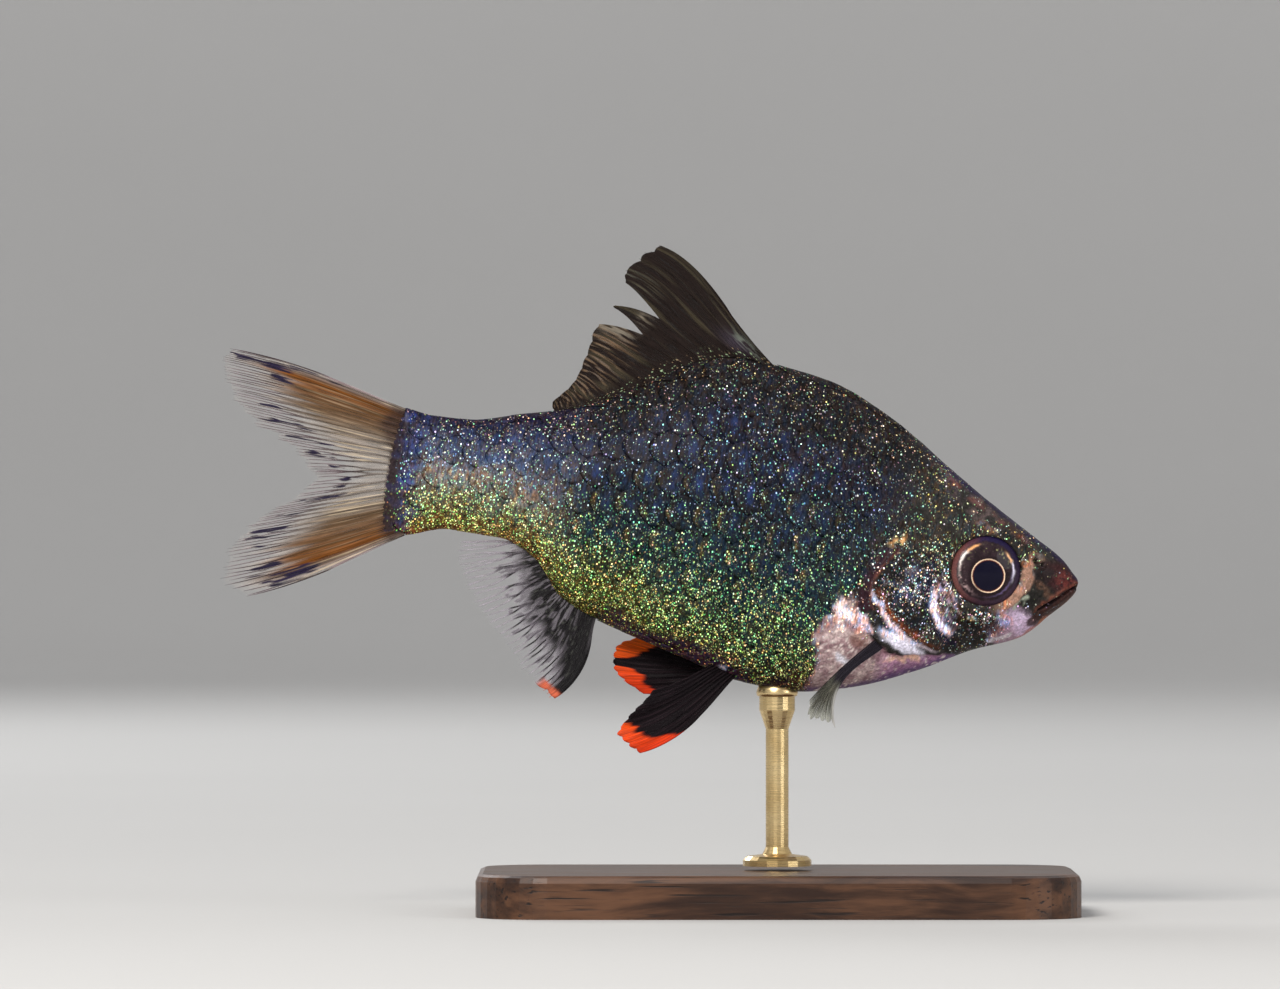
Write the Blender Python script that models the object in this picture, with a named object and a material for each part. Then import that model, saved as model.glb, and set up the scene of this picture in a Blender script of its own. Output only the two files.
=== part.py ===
"""A tiger barb of the moss-green form, life size, as a still museum model on a plain display stand.

The fish is modelled level in its own frame and an empty then tips it nose-down, as it swims. In that frame
x runs forward from the snout tip, so a place s millimetres behind the snout is at x = -s, y is to the fish's
left, and z is the height h above its long axis. Sizes are in millimetres and become metres in the meshes.
The origin of the whole part is the centre of the underside of the stand's base, with the head towards +X.
"""

import math

import bmesh
import bpy
import numpy as np

MM = 0.001

# Driving sizes of the pose and the stand
NOSE_DOWN = math.radians(9.5)
SNOUT_X = 21.0
SNOUT_Z = 23.0
BASE_LENGTH = 42.0
BASE_WIDTH = 26.0
BASE_HEIGHT = 3.0
BASE_CORNER = 5.0
BASE_BEVEL = 0.5
ROD_RADIUS = 0.8
FOOT_RADIUS = 2.4
FOOT_HEIGHT = 0.7
SADDLE_RADIUS = 1.25
SADDLE_LOW = 14.2
SADDLE_TAPER = 1.3
INSIDE_BELLY = 18.5
GAP = 0.3

# Driving sizes of the body
BODY_LENGTH = 48.3
TAIL_CUT = 39.5
BODY_RINGS = 42
RING_POINTS = 36
RING_CROWDING = 1.5
CAP_BULGE = 0.13
EYE_PLACE = (6.55, -0.12)
EYE_RADIUS = 2.48
EYE_DEPTH = 1.6
EYE_OUT = 2.35
FIN_THICKNESS = 0.5
FIN_ROOT_THICKNESS = 0.9
BOW_PEAK = 0.58
DORSAL_BOW_PEAK = 0.74
ROOT_DEPTH = 0.4

# Upper and lower outline: distance behind the snout, height of the back, height of the belly
OUTLINE = (
    (0.0, 0.20, -0.25),
    (0.4, 0.72, -1.15),
    (1.5, 1.68, -2.37),
    (3.2, 2.63, -4.20),
    (6.6, 4.47, -5.78),
    (10.1, 6.55, -7.80),
    (14.9, 9.50, -9.85),
    (19.4, 11.25, -10.75),
    (23.0, 11.75, -10.55),
    (25.6, 12.00, -9.85),
    (28.8, 11.10, -9.08),
    (33.2, 8.40, -7.90),
    (35.6, 7.05, -6.85),
    (37.8, 6.15, -4.60),
    (40.4, 5.40, -3.50),
    (44.0, 4.42, -3.50),
    (46.6, 4.30, -4.30),
    (48.3, 4.50, -4.75),
)
# Half width of the body seen from above
HALF_WIDTH = (
    (0.0, 0.50),
    (0.4, 1.05),
    (1.5, 1.75),
    (3.2, 2.50),
    (6.6, 3.55),
    (10.1, 4.30),
    (14.9, 4.95),
    (20.0, 5.20),
    (26.0, 4.95),
    (33.0, 3.90),
    (37.8, 2.90),
    (44.0, 1.75),
    (48.3, 0.70),
)
# Height at which the body is widest
WIDEST = (
    (0.0, 0.0),
    (6.6, -0.6),
    (12.0, -1.2),
    (20.0, -0.3),
    (28.0, 0.4),
    (36.0, 0.3),
    (44.0, 0.4),
    (48.3, -0.1),
)
# Sharpness of the back and belly: 1 is an ellipse, more is a keel, less is a flat dome
BACK_KEEL = ((0.0, 0.80), (6.6, 0.80), (12.0, 0.95), (20.0, 1.15), (30.0, 1.20), (44.0, 1.05), (48.3, 1.0))
BELLY_KEEL = ((0.0, 0.90), (8.0, 0.95), (14.0, 0.85), (22.0, 0.85), (30.0, 1.05), (44.0, 1.0), (48.3, 1.0))

# Lateral ellipses that part the body, each as centre s, centre h, half length, half height
HEAD_EDGE = (5.0, -2.0, 9.9, 16.0)
GILL_EDGE = (10.2, -2.4, 5.2, 3.75)
CHEEK_EDGE = (EYE_PLACE[0], EYE_PLACE[1], 4.4, 4.9)
GILL_INNER = 2.6
# Reach of the cutting solids past the body, sideways and up and down
HALF_REACH = 8.0
TALL_REACH = 20.0
# Lower jaw seen from the side: in front of the lip, the mouth corner, and down behind the chin
MOUTH_FRONT = (-1.0, -0.05)
MOUTH_CORNER = (2.3, -1.75)
CHIN_BACK = (3.7, -6.5)

# Single fins. The base runs from share 0 at the front ray to share 1 at the last ray, and the margin is
# where the ray at each share ends: share, s, h. The bow is how far the front ray arches forward. A tear is
# its share, how deep it cuts as a share of the ray, and its half width as a share.
DORSAL = {
    "base": (23.0, 38.0),
    "margin": (
        (0.00, 32.7, 18.6),
        (0.12, 34.1, 17.5),
        (0.25, 35.2, 15.8),
        (0.35, 35.3, 13.9),
        (0.45, 36.2, 12.4),
        (0.62, 36.6, 10.2),
        (0.80, 37.1, 8.2),
        (1.00, 38.3, 6.6),
    ),
    "bow": 0.62,
    "peak": DORSAL_BOW_PEAK,
    "tears": ((0.303, 0.42, 0.048), (0.402, 0.42, 0.046)),
}
ANAL = {
    "base": (32.8, 38.9),
    "margin": (
        (0.00, 35.1, -14.2),
        (0.12, 36.1, -13.4),
        (0.30, 37.8, -11.7),
        (0.48, 39.8, -9.8),
        (0.65, 41.7, -8.0),
        (0.80, 42.8, -6.3),
        (0.92, 43.3, -5.1),
        (1.00, 43.2, -4.2),
    ),
    "bow": -0.85,
    "peak": BOW_PEAK,
    "tears": (),
}
CAUDAL = {
    "root": ((0.0, 48.75, 4.35), (0.5, 48.35, -0.1), (1.0, 47.45, -4.75)),
    "margin": (
        (0.00, 61.2, 6.5),
        (0.06, 61.7, 5.8),
        (0.15, 61.3, 4.5),
        (0.25, 60.4, 3.1),
        (0.35, 58.6, 1.5),
        (0.42, 56.4, 0.4),
        (0.48, 54.7, -0.7),
        (0.52, 54.3, -1.5),
        (0.58, 55.2, -3.0),
        (0.66, 57.1, -4.6),
        (0.76, 58.4, -6.2),
        (0.86, 59.0, -8.0),
        (0.94, 58.9, -9.6),
        (1.00, 57.2, -10.4),
    ),
    "bow": 0.4,
    "split": 0.5,
    "slit": 0.032,
}

# Paired fins. The root and the margin list share, s, y, h, from the leading ray to the last. The bows are
# how far the first and the last ray arch rearwards, and the spread is how far the first stands off sideways.
PELVIC_RIGHT = {
    "root": ((0.0, 22.6, -1.3, -10.3), (1.0, 24.3, -1.9, -9.7)),
    "margin": (
        (0.00, 28.4, -3.2, -16.7),
        (0.20, 29.4, -3.3, -16.2),
        (0.42, 30.1, -3.3, -15.4),
        (0.58, 29.7, -3.3, -14.4),
        (0.75, 29.0, -3.2, -13.5),
        (1.00, 28.2, -3.0, -12.2),
    ),
    "bows": (-0.75, -0.2),
    "spread": 0.0,
}
PELVIC_LEFT = {
    "root": ((0.0, 22.6, 1.3, -10.3), (1.0, 24.3, 1.9, -9.7)),
    "margin": (
        (0.00, 28.7, 2.3, -12.6),
        (0.15, 30.1, 2.4, -12.0),
        (0.35, 31.0, 2.5, -11.3),
        (0.60, 31.4, 2.6, -10.3),
        (0.80, 31.0, 2.8, -9.4),
        (1.00, 30.0, 3.2, -8.8),
    ),
    "bows": (-0.25, 0.0),
    "spread": 0.0,
}
PECTORAL_RIGHT = {
    "root": ((0.0, 12.65, -3.3, -6.35), (1.0, 13.2, -3.5, -5.9)),
    "margin": (
        (0.00, 15.1, -7.7, -12.8),
        (0.12, 15.5, -8.0, -12.4),
        (0.50, 16.6, -8.8, -12.4),
        (0.75, 17.2, -9.1, -12.1),
        (1.00, 17.45, -9.2, -11.2),
    ),
    "bows": (1.35, 0.15),
    "spread": 0.4,
}
PECTORAL_LEFT = {
    "root": ((0.0, 12.65, 3.3, -6.55), (1.0, 13.2, 3.7, -5.7)),
    "margin": (
        (0.00, 18.9, 8.9, -9.9),
        (0.25, 19.8, 9.2, -9.3),
        (0.50, 20.3, 9.3, -8.5),
        (0.75, 20.2, 9.2, -7.6),
        (1.00, 19.6, 8.9, -6.9),
    ),
    "bows": (0.3, 0.0),
    "spread": -0.6,
}

# Colours as red, green, blue, with roughness and metallic values
FINISHES = {
    "flank_scales": ((0.06, 0.11, 0.09), 0.35, 0.4),
    "head_skin": ((0.12, 0.08, 0.07), 0.4, 0.2),
    "gill_cover": ((0.16, 0.14, 0.12), 0.3, 0.5),
    "dark_fin": ((0.05, 0.035, 0.035), 0.5, 0.0),
    "amber_fin": ((0.45, 0.22, 0.08), 0.5, 0.0),
    "red_tip_fin": ((0.35, 0.06, 0.02), 0.5, 0.0),
    "clear_fin": ((0.30, 0.27, 0.25), 0.5, 0.0),
    "eye": ((0.10, 0.07, 0.07), 0.1, 0.0),
    "stand_wood": ((0.09, 0.045, 0.025), 0.35, 0.0),
    "stand_metal": ((0.62, 0.48, 0.25), 0.3, 1.0),
}


def smooth_through(stations, column, at):
    """The value of one column at each place, by a cubic through the stations that never overshoots."""
    rows = np.array(stations, float)
    x, y = rows[:, 0], rows[:, column]
    step = np.diff(x)
    slope = np.diff(y) / step
    tangent = np.zeros_like(y)
    turning = slope[:-1] * slope[1:] > 0
    before, after = 2 * step[1:] + step[:-1], step[1:] + 2 * step[:-1]
    safe = np.where(turning, slope[:-1] * slope[1:], 1.0)
    mean = (before + after) * safe / np.where(turning, before * slope[1:] + after * slope[:-1], 1.0)
    tangent[1:-1] = np.where(turning, mean, 0.0)
    tangent[0], tangent[-1] = slope[0], slope[-1]
    at = np.clip(np.asarray(at, float), x[0], x[-1])
    k = np.clip(np.searchsorted(x, at) - 1, 0, len(step) - 1)
    t = (at - x[k]) / step[k]
    return (
        y[k] * (1 + 2 * t) * (1 - t) ** 2
        + tangent[k] * step[k] * t * (1 - t) ** 2
        + y[k + 1] * t * t * (3 - 2 * t)
        + tangent[k + 1] * step[k] * t * t * (t - 1)
    )


def along(stations, column, s):
    """A body table read at s. Its cubic runs over the root of s, which rounds the snout."""
    rows = [(math.sqrt(row[0]), *row[1:]) for row in stations]
    return smooth_through(rows, column, np.sqrt(np.maximum(s, 0)))


def body_surface(s, angle, grow=0.0):
    """Points of the body's skin. The angle is 0 on the back and turns through the fish's right side."""
    top = along(OUTLINE, 1, s) + grow
    bottom = along(OUTLINE, 2, s) - grow
    wide = along(HALF_WIDTH, 1, s) + grow
    level = along(WIDEST, 1, s)
    rise = np.cos(angle)
    keel = np.where(rise > 0, along(BACK_KEEL, 1, s), along(BELLY_KEEL, 1, s))
    reach = np.where(rise > 0, top - level, level - bottom)
    side = np.sin(angle)
    y = -wide * np.sign(side) * np.abs(side) ** keel
    return np.stack(np.broadcast_arrays(-s, y, level + reach * rise), -1)


def link(obj, finish=None, parent=None):
    """Puts an object in the scene, with its material and the pose empty it follows."""
    bpy.context.scene.collection.objects.link(obj)
    if finish:
        obj.data.materials.append(MATERIALS[finish])
    if parent:
        obj.parent = parent
    return obj


def object_from(name, points, faces, finish=None, parent=None):
    """A mesh object from points in millimetres, with its faces turned outwards."""
    mesh = bpy.data.meshes.new(name)
    mesh.from_pydata((np.asarray(points, float) * MM).tolist(), [], faces)
    work = bmesh.new()
    work.from_mesh(mesh)
    bmesh.ops.recalc_face_normals(work, faces=work.faces)
    work.to_mesh(mesh)
    work.free()
    mesh.shade_smooth()
    mesh.set_sharp_from_angle(angle=math.radians(40))
    return link(bpy.data.objects.new(name, mesh), finish, parent)


def guide(obj):
    """Marks a helper that only cuts."""
    obj.hide_render = True
    obj.display_type = "WIRE"
    return obj


def cut(obj, operation, tool):
    """A live Boolean of obj with a helper."""
    modifier = obj.modifiers.new(f"{operation.lower()}_{tool.name}", "BOOLEAN")
    modifier.operation = operation
    modifier.solver = "EXACT"
    modifier.object = tool


def grid_faces(rows, columns, wrap):
    """Quads over a grid of points, row by row. With wrap the columns close into rings."""
    faces = []
    for r in range(rows - 1):
        for c in range(columns if wrap else columns - 1):
            d = (c + 1) % columns
            faces.append((r * columns + c, r * columns + d, (r + 1) * columns + d, (r + 1) * columns + c))
    return faces


def body_loft(name, parent, grow=0.0, finish=None):
    """The whole body from snout to tail root as rings of the skin, closed by a point at each end."""
    share = np.linspace(0, 1, BODY_RINGS)
    s = BODY_LENGTH * share**RING_CROWDING
    angle = np.linspace(0, 2 * math.pi, RING_POINTS, endpoint=False)
    rings = body_surface(s[:, None], angle[None, :], grow)
    lip = [CAP_BULGE + grow, 0, 0]
    root = [-BODY_LENGTH - CAP_BULGE - grow, 0, 0]
    points = np.concatenate([rings.reshape(-1, 3), [lip, root]])
    faces = grid_faces(BODY_RINGS, RING_POINTS, wrap=True)
    first, last = len(points) - 2, len(points) - 1
    end = (BODY_RINGS - 1) * RING_POINTS
    for c in range(RING_POINTS):
        d = (c + 1) % RING_POINTS
        faces.append((first, d, c))
        faces.append((last, end + c, end + d))
    return object_from(name, points, faces, finish, parent)


def prism(name, outline, low_y, high_y, parent):
    """A helper solid: an outline of s, h pairs carried across the fish from low_y to high_y."""
    count = len(outline)
    points = [(-s, y, h) for y in (low_y, high_y) for s, h in outline]
    sides = [(k, (k + 1) % count, count + (k + 1) % count, count + k) for k in range(count)]
    faces = [tuple(range(count)), tuple(range(2 * count - 1, count - 1, -1)), *sides]
    return guide(object_from(name, points, faces, None, parent))


def ellipse(centre_s, centre_h, half_length, half_height, grow=0.0, steps=64):
    """Outline points of a lateral ellipse, grown outwards by grow."""
    turn = np.linspace(0, 2 * math.pi, steps, endpoint=False)
    s = centre_s + (half_length + grow) * np.cos(turn)
    h = centre_h + (half_height + grow) * np.sin(turn)
    return list(zip(s.tolist(), h.tolist()))


def jaw_outline(grow=0.0):
    """The lower jaw's wedge: under the mouth slit and in front of the jaw joint."""
    (fs, fh), (cs, ch), (bs, bh) = MOUTH_FRONT, MOUTH_CORNER, CHIN_BACK
    return [(fs, fh + grow), (cs + grow, ch + grow), (bs + grow, bh), (fs, bh)]


def tail_outline(start):
    """Everything behind the cut at start, past the end and the height of the body."""
    end = BODY_LENGTH + HALF_REACH
    return [(start, -TALL_REACH), (end, -TALL_REACH), (end, TALL_REACH), (start, TALL_REACH)]


def ellipsoid(name, centre, radii, parent, finish=None, segments=20, rings=12):
    """A closed ellipsoid, such as an eyeball or its socket."""
    work = bmesh.new()
    bmesh.ops.create_uvsphere(work, u_segments=segments, v_segments=rings, radius=1.0)
    points = np.array([v.co[:] for v in work.verts])
    faces = [tuple(v.index for v in f.verts) for f in work.faces]
    work.free()
    # The sphere's poles look sideways, so its rings lie around the pupil
    points = points[:, [0, 2, 1]] * np.array(radii) + np.array(centre)
    return object_from(name, points, faces, finish, parent)


def thick_sheet(name, middle, thickness, parent, finish):
    """A fin as a solid: a grid of points, offset both ways along its normal by half the thickness."""
    down = np.gradient(middle, axis=0)
    across = np.gradient(middle, axis=1)
    normal = np.cross(down, across)
    normal /= np.linalg.norm(normal, axis=-1, keepdims=True)
    rows, columns = middle.shape[:2]
    half = thickness[..., None] / 2
    both_sides = (middle + normal * half, middle - normal * half)
    points = np.concatenate([side.reshape(-1, 3) for side in both_sides])
    back = rows * columns
    front_faces = grid_faces(rows, columns, wrap=False)
    faces = front_faces + [tuple(back + i for i in reversed(f)) for f in front_faces]
    rim = [r * columns for r in range(rows)]
    rim += [(rows - 1) * columns + c for c in range(1, columns)]
    rim += [r * columns + columns - 1 for r in range(rows - 2, -1, -1)]
    rim += list(range(columns - 2, 0, -1))
    faces += [(a, b, back + b, back + a) for a, b in zip(rim, rim[1:] + rim[:1])]
    return object_from(name, points, faces, finish, parent)


def points_of(rows, share):
    """Points read along a table whose rows are share, s, h or share, s, y, h."""
    values = [smooth_through(rows, column, share) for column in range(1, len(rows[0]))]
    y = values[1] if len(values) == 3 else 0 * share
    return np.stack([-values[0], y, values[-1]], -1)


def square_to(ray):
    """Unit vectors square to the rays in side view. For a ray that runs back and down they point forward."""
    square = np.stack([-ray[:, 2], 0 * ray[:, 0], ray[:, 0]], -1)
    return square / np.linalg.norm(square, axis=1, keepdims=True)


def torn(share, tears):
    """How much of each ray is left, as a share of its length, with a V cut at each tear."""
    left = np.ones_like(share)
    for centre, depth, half_width in tears:
        left = np.minimum(left, 1 - depth * np.clip(1 - np.abs(share - centre) / half_width, 0, 1))
    return left


def fin_grid(root, tip, bow_vector, steps, left=None, peak=BOW_PEAK):
    """Fin points on a grid of rays by steps. Each ray runs from its root to its tip and arches by the bow,
    most at that peak of its length."""
    reach = np.linspace(0, 1, steps)[None, :, None]
    if left is not None:
        reach = reach * left[:, None, None]
    straight = root[:, None, :] * (1 - reach) + tip[:, None, :] * reach
    power = peak / (1 - peak)
    arch = reach**power * (1 - reach) / (peak**power * (1 - peak))
    return straight + bow_vector[:, None, :] * arch


def fin_thickness(rays, steps):
    """Thick at the root and thin at the margin."""
    reach = np.linspace(0, 1, steps) ** 0.6
    return np.tile(FIN_ROOT_THICKNESS + (FIN_THICKNESS - FIN_ROOT_THICKNESS) * reach, (rays, 1))


def middle_fin(name, fin, column, side, rays, steps, parent, finish):
    """A dorsal or anal fin, rooted on the back (column 1, side 1) or belly (column 2, side -1) outline."""
    share = np.linspace(0, 1, rays)
    front, rear = fin["base"]
    s = front + (rear - front) * share
    root = np.stack([-s, 0 * s, along(OUTLINE, column, s) - ROOT_DEPTH * side], -1)
    tip = points_of(fin["margin"], share)
    # The bow fades towards the last ray
    bow = square_to(tip - root) * (-fin["bow"] * (1 - share) ** 1.5)[:, None]
    middle = fin_grid(root, tip, bow, steps, torn(share, fin["tears"]), fin["peak"])
    return thick_sheet(name, middle, fin_thickness(rays, steps), parent, finish)


def caudal_lobe(name, first, last, rays, steps, parent):
    """One lobe of the tail fin, from ray share first to last."""
    share = np.linspace(first, last, rays)
    root, tip = points_of(CAUDAL["root"], share), points_of(CAUDAL["margin"], share)
    # The bow lifts the upper edge and lowers the lower one, and dies out at the outer third of the rays
    lift = np.clip(1 - share / 0.3, 0, 1) - np.clip(1 - (1 - share) / 0.3, 0, 1)
    bow = np.stack([0 * share, 0 * share, CAUDAL["bow"] * lift], -1)
    middle = fin_grid(root, tip, bow, steps)
    return thick_sheet(name, middle, fin_thickness(rays, steps), parent, "amber_fin")


def paired_fin(name, fin, rays, steps, parent, finish):
    """A pelvic or pectoral fin, which stands off the body's side."""
    share = np.linspace(0, 1, rays)
    root, tip = points_of(fin["root"], share), points_of(fin["margin"], share)
    front_bow, rear_bow = fin["bows"]
    bow = square_to(tip - root) * -(front_bow * (1 - share) + rear_bow * share)[:, None]
    bow[:, 1] -= fin["spread"] * (0.5 - share)
    middle = fin_grid(root, tip, bow, steps)
    return thick_sheet(name, middle, fin_thickness(rays, steps), parent, finish)


def make_body(pose):
    """Head, gill covers, lower jaw, trunk and tail root, parted from one body by thin cuts."""
    wide = HALF_REACH
    head_zone = prism("cut_head", ellipse(*HEAD_EDGE), -wide, wide, pose)
    head_clear = prism("cut_head_clear", ellipse(*HEAD_EDGE, grow=GAP), -wide, wide, pose)
    jaw_zone = prism("cut_jaw", jaw_outline(), -wide, wide, pose)
    jaw_clear = prism("cut_jaw_clear", jaw_outline(GAP), -wide, wide, pose)
    cheek = prism("cut_cheek", ellipse(*CHEEK_EDGE), -wide, wide, pose)
    cheek_clear = prism("cut_cheek_clear", ellipse(*CHEEK_EDGE, grow=-GAP), -wide, wide, pose)
    tail_zone = prism("cut_tail", tail_outline(TAIL_CUT + GAP / 2), -wide, wide, pose)
    tail_clear = prism("cut_tail_clear", tail_outline(TAIL_CUT - GAP / 2), -wide, wide, pose)

    head = body_loft("head", pose, finish="head_skin")
    cut(head, "INTERSECT", head_zone)
    cut(head, "DIFFERENCE", jaw_clear)
    for side, sign in (("right", -1), ("left", 1)):
        near, out = sorted((sign * GILL_INNER, sign * wide))
        near_clear, out_clear = sorted((sign * (GILL_INNER - GAP), sign * wide))
        edge, edge_clear = ellipse(*GILL_EDGE), ellipse(*GILL_EDGE, grow=GAP)
        gill_zone = prism(f"cut_gill_{side}", edge, near, out, pose)
        gill_clear = prism(f"cut_gill_clear_{side}", edge_clear, near_clear, out_clear, pose)
        cut(gill_clear, "DIFFERENCE", cheek_clear)
        cut(head, "DIFFERENCE", gill_clear)
        cover = body_loft(f"gill_cover_{side}", pose, finish="gill_cover")
        cut(cover, "INTERSECT", gill_zone)
        cut(cover, "DIFFERENCE", cheek)
        cut(cover, "INTERSECT", head_zone)
        centre = (-EYE_PLACE[0], sign * EYE_OUT, EYE_PLACE[1])
        ellipsoid(f"eye_{side}", centre, (EYE_RADIUS, EYE_DEPTH, EYE_RADIUS), pose, "eye")
        socket_size = (EYE_RADIUS + GAP, EYE_DEPTH + GAP, EYE_RADIUS + GAP)
        socket = guide(ellipsoid(f"cut_socket_{side}", centre, socket_size, pose))
        cut(head, "DIFFERENCE", socket)

    jaw = body_loft("lower_jaw", pose, finish="head_skin")
    cut(jaw, "INTERSECT", jaw_zone)

    trunk = body_loft("trunk", pose, finish="flank_scales")
    cut(trunk, "DIFFERENCE", head_clear)
    cut(trunk, "DIFFERENCE", tail_clear)
    tail_root = body_loft("tail_root", pose, finish="flank_scales")
    cut(tail_root, "INTERSECT", tail_zone)


def make_fins(pose, body_clear):
    """Every fin, cut back so that its root meets the body."""
    fins = [
        middle_fin("dorsal_fin", DORSAL, 1, 1, 41, 6, pose, "dark_fin"),
        middle_fin("anal_fin", ANAL, 2, -1, 14, 6, pose, "dark_fin"),
        caudal_lobe("tail_fin_upper", 0.0, CAUDAL["split"] - CAUDAL["slit"] / 2, 13, 6, pose),
        caudal_lobe("tail_fin_lower", CAUDAL["split"] + CAUDAL["slit"] / 2, 1.0, 13, 6, pose),
        paired_fin("pelvic_fin_right", PELVIC_RIGHT, 10, 6, pose, "red_tip_fin"),
        paired_fin("pelvic_fin_left", PELVIC_LEFT, 10, 6, pose, "red_tip_fin"),
        paired_fin("pectoral_fin_right", PECTORAL_RIGHT, 9, 6, pose, "clear_fin"),
        paired_fin("pectoral_fin_left", PECTORAL_LEFT, 9, 6, pose, "clear_fin"),
    ]
    for fin in fins:
        cut(fin, "DIFFERENCE", body_clear)


def make_stand(body_clear):
    """A flat plinth and one turned rod, whose top is shaped to the belly."""
    work = bmesh.new()
    bmesh.ops.create_cube(work, size=1.0)
    bmesh.ops.scale(work, vec=(BASE_LENGTH * MM, BASE_WIDTH * MM, BASE_HEIGHT * MM), verts=work.verts)
    bmesh.ops.translate(work, vec=(0, 0, BASE_HEIGHT * MM / 2), verts=work.verts)
    upright = [e for e in work.edges if abs(e.verts[0].co.z - e.verts[1].co.z) > BASE_HEIGHT * MM / 2]
    bmesh.ops.bevel(work, geom=upright, offset=BASE_CORNER * MM, segments=8, profile=0.5, affect="EDGES")
    level = [e for e in work.edges if min(v.co.z for v in e.verts) > BASE_HEIGHT * MM * 0.9]
    bmesh.ops.bevel(work, geom=level, offset=BASE_BEVEL * MM, segments=2, profile=0.5, affect="EDGES")
    mesh = bpy.data.meshes.new("stand_base")
    work.to_mesh(mesh)
    work.free()
    mesh.shade_smooth()
    mesh.set_sharp_from_angle(angle=math.radians(30))
    link(bpy.data.objects.new("stand_base", mesh), "stand_wood")

    # The rod's outer line from its foot to inside the belly: radius, height
    foot = BASE_HEIGHT + GAP
    collar = foot + FOOT_HEIGHT
    profile = [
        (FOOT_RADIUS, foot),
        (FOOT_RADIUS, foot + FOOT_HEIGHT * 0.6),
        (FOOT_RADIUS * 0.88, collar),
        (ROD_RADIUS * 1.3, collar + FOOT_HEIGHT * 0.2),
        (ROD_RADIUS, collar + FOOT_HEIGHT * 0.9),
        (ROD_RADIUS, SADDLE_LOW - SADDLE_TAPER),
        (SADDLE_RADIUS, SADDLE_LOW),
        (SADDLE_RADIUS, INSIDE_BELLY),
    ]
    sides = 20
    turn = np.linspace(0, 2 * math.pi, sides, endpoint=False)
    rings = [np.stack([r * np.cos(turn), r * np.sin(turn), 0 * turn + z], -1) for r, z in profile]
    faces = grid_faces(len(profile), sides, wrap=True)
    faces.append(tuple(range(sides - 1, -1, -1)))
    faces.append(tuple((len(profile) - 1) * sides + k for k in range(sides)))
    rod = object_from("stand_rod", np.concatenate(rings), faces, "stand_metal")
    cut(rod, "DIFFERENCE", body_clear)


def make_material(name, colour, roughness, metallic):
    """A plain shader with the part's colour."""
    material = bpy.data.materials.new(name)
    material.use_nodes = True
    shader = material.node_tree.nodes["Principled BSDF"]
    shader.inputs["Base Color"].default_value = (*colour, 1.0)
    shader.inputs["Roughness"].default_value = roughness
    shader.inputs["Metallic"].default_value = metallic
    return material


for old in list(bpy.data.objects):
    bpy.data.objects.remove(old)
MATERIALS = {name: make_material(name, *finish) for name, finish in FINISHES.items()}

pose_empty = link(bpy.data.objects.new("fish_pose", None))
pose_empty.location = (SNOUT_X * MM, 0, SNOUT_Z * MM)
pose_empty.rotation_euler = (0, NOSE_DOWN, 0)
clearance = guide(body_loft("cut_body_clear", pose_empty, grow=GAP))
make_body(pose_empty)
make_fins(pose_empty, clearance)
make_stand(clearance)
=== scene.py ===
"""Looks of the moss-green tiger barb on its display stand: skin, scales, eyes, fins, stand and studio.

Every shape is worked out in the fish's own frame, in millimetres: s runs back from the snout tip, y to the
fish's left and h up from its long axis. The last step tips it nose-down and moves it into the model's frame.
"""

import math

import bpy
import numpy as np
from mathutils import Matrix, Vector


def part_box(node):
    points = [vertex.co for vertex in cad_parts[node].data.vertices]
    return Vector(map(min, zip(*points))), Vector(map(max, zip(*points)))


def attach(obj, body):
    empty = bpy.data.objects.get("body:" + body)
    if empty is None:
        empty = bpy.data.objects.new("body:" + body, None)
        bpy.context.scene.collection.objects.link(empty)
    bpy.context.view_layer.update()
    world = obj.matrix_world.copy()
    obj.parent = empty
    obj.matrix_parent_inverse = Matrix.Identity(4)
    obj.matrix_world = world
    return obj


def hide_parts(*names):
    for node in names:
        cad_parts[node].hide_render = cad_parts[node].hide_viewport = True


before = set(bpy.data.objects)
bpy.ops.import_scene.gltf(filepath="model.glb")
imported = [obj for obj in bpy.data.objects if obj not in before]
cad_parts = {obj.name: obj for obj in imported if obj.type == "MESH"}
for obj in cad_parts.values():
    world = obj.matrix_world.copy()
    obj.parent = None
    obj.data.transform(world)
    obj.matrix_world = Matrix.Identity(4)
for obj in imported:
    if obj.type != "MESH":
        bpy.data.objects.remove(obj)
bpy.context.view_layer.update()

MM = 0.001
TAU = 2 * math.pi

# Pose of the fish and the photograph's framing, in millimetres
NOSE_DOWN = math.radians(9.5)
SNOUT_X = 21.0
SNOUT_Z = 23.0
VIEW_CENTRE = (-9.6, 29.3)
VIEW_WIDTH = 89.6
VIEW_DISTANCE = 800.0
SENSOR = 36.0

# Body tables, as in the part: distance behind the snout, then the values
OUTLINE = (
    (0.0, 0.20, -0.25),
    (0.4, 0.72, -1.15),
    (1.5, 1.68, -2.37),
    (3.2, 2.63, -4.20),
    (6.6, 4.47, -5.78),
    (10.1, 6.55, -7.80),
    (14.9, 9.50, -9.85),
    (19.4, 11.25, -10.75),
    (23.0, 11.75, -10.55),
    (25.6, 12.00, -9.85),
    (28.8, 11.10, -9.08),
    (33.2, 8.40, -7.90),
    (35.6, 7.05, -6.85),
    (37.8, 6.15, -4.60),
    (40.4, 5.40, -3.50),
    (44.0, 4.42, -3.50),
    (46.6, 4.30, -4.30),
    (48.3, 4.50, -4.75),
)
HALF_WIDTH = (
    (0.0, 0.50),
    (0.4, 1.05),
    (1.5, 1.75),
    (3.2, 2.50),
    (6.6, 3.55),
    (10.1, 4.30),
    (14.9, 4.95),
    (20.0, 5.20),
    (26.0, 4.95),
    (33.0, 3.90),
    (37.8, 2.90),
    (44.0, 1.75),
    (48.3, 0.70),
)
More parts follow.
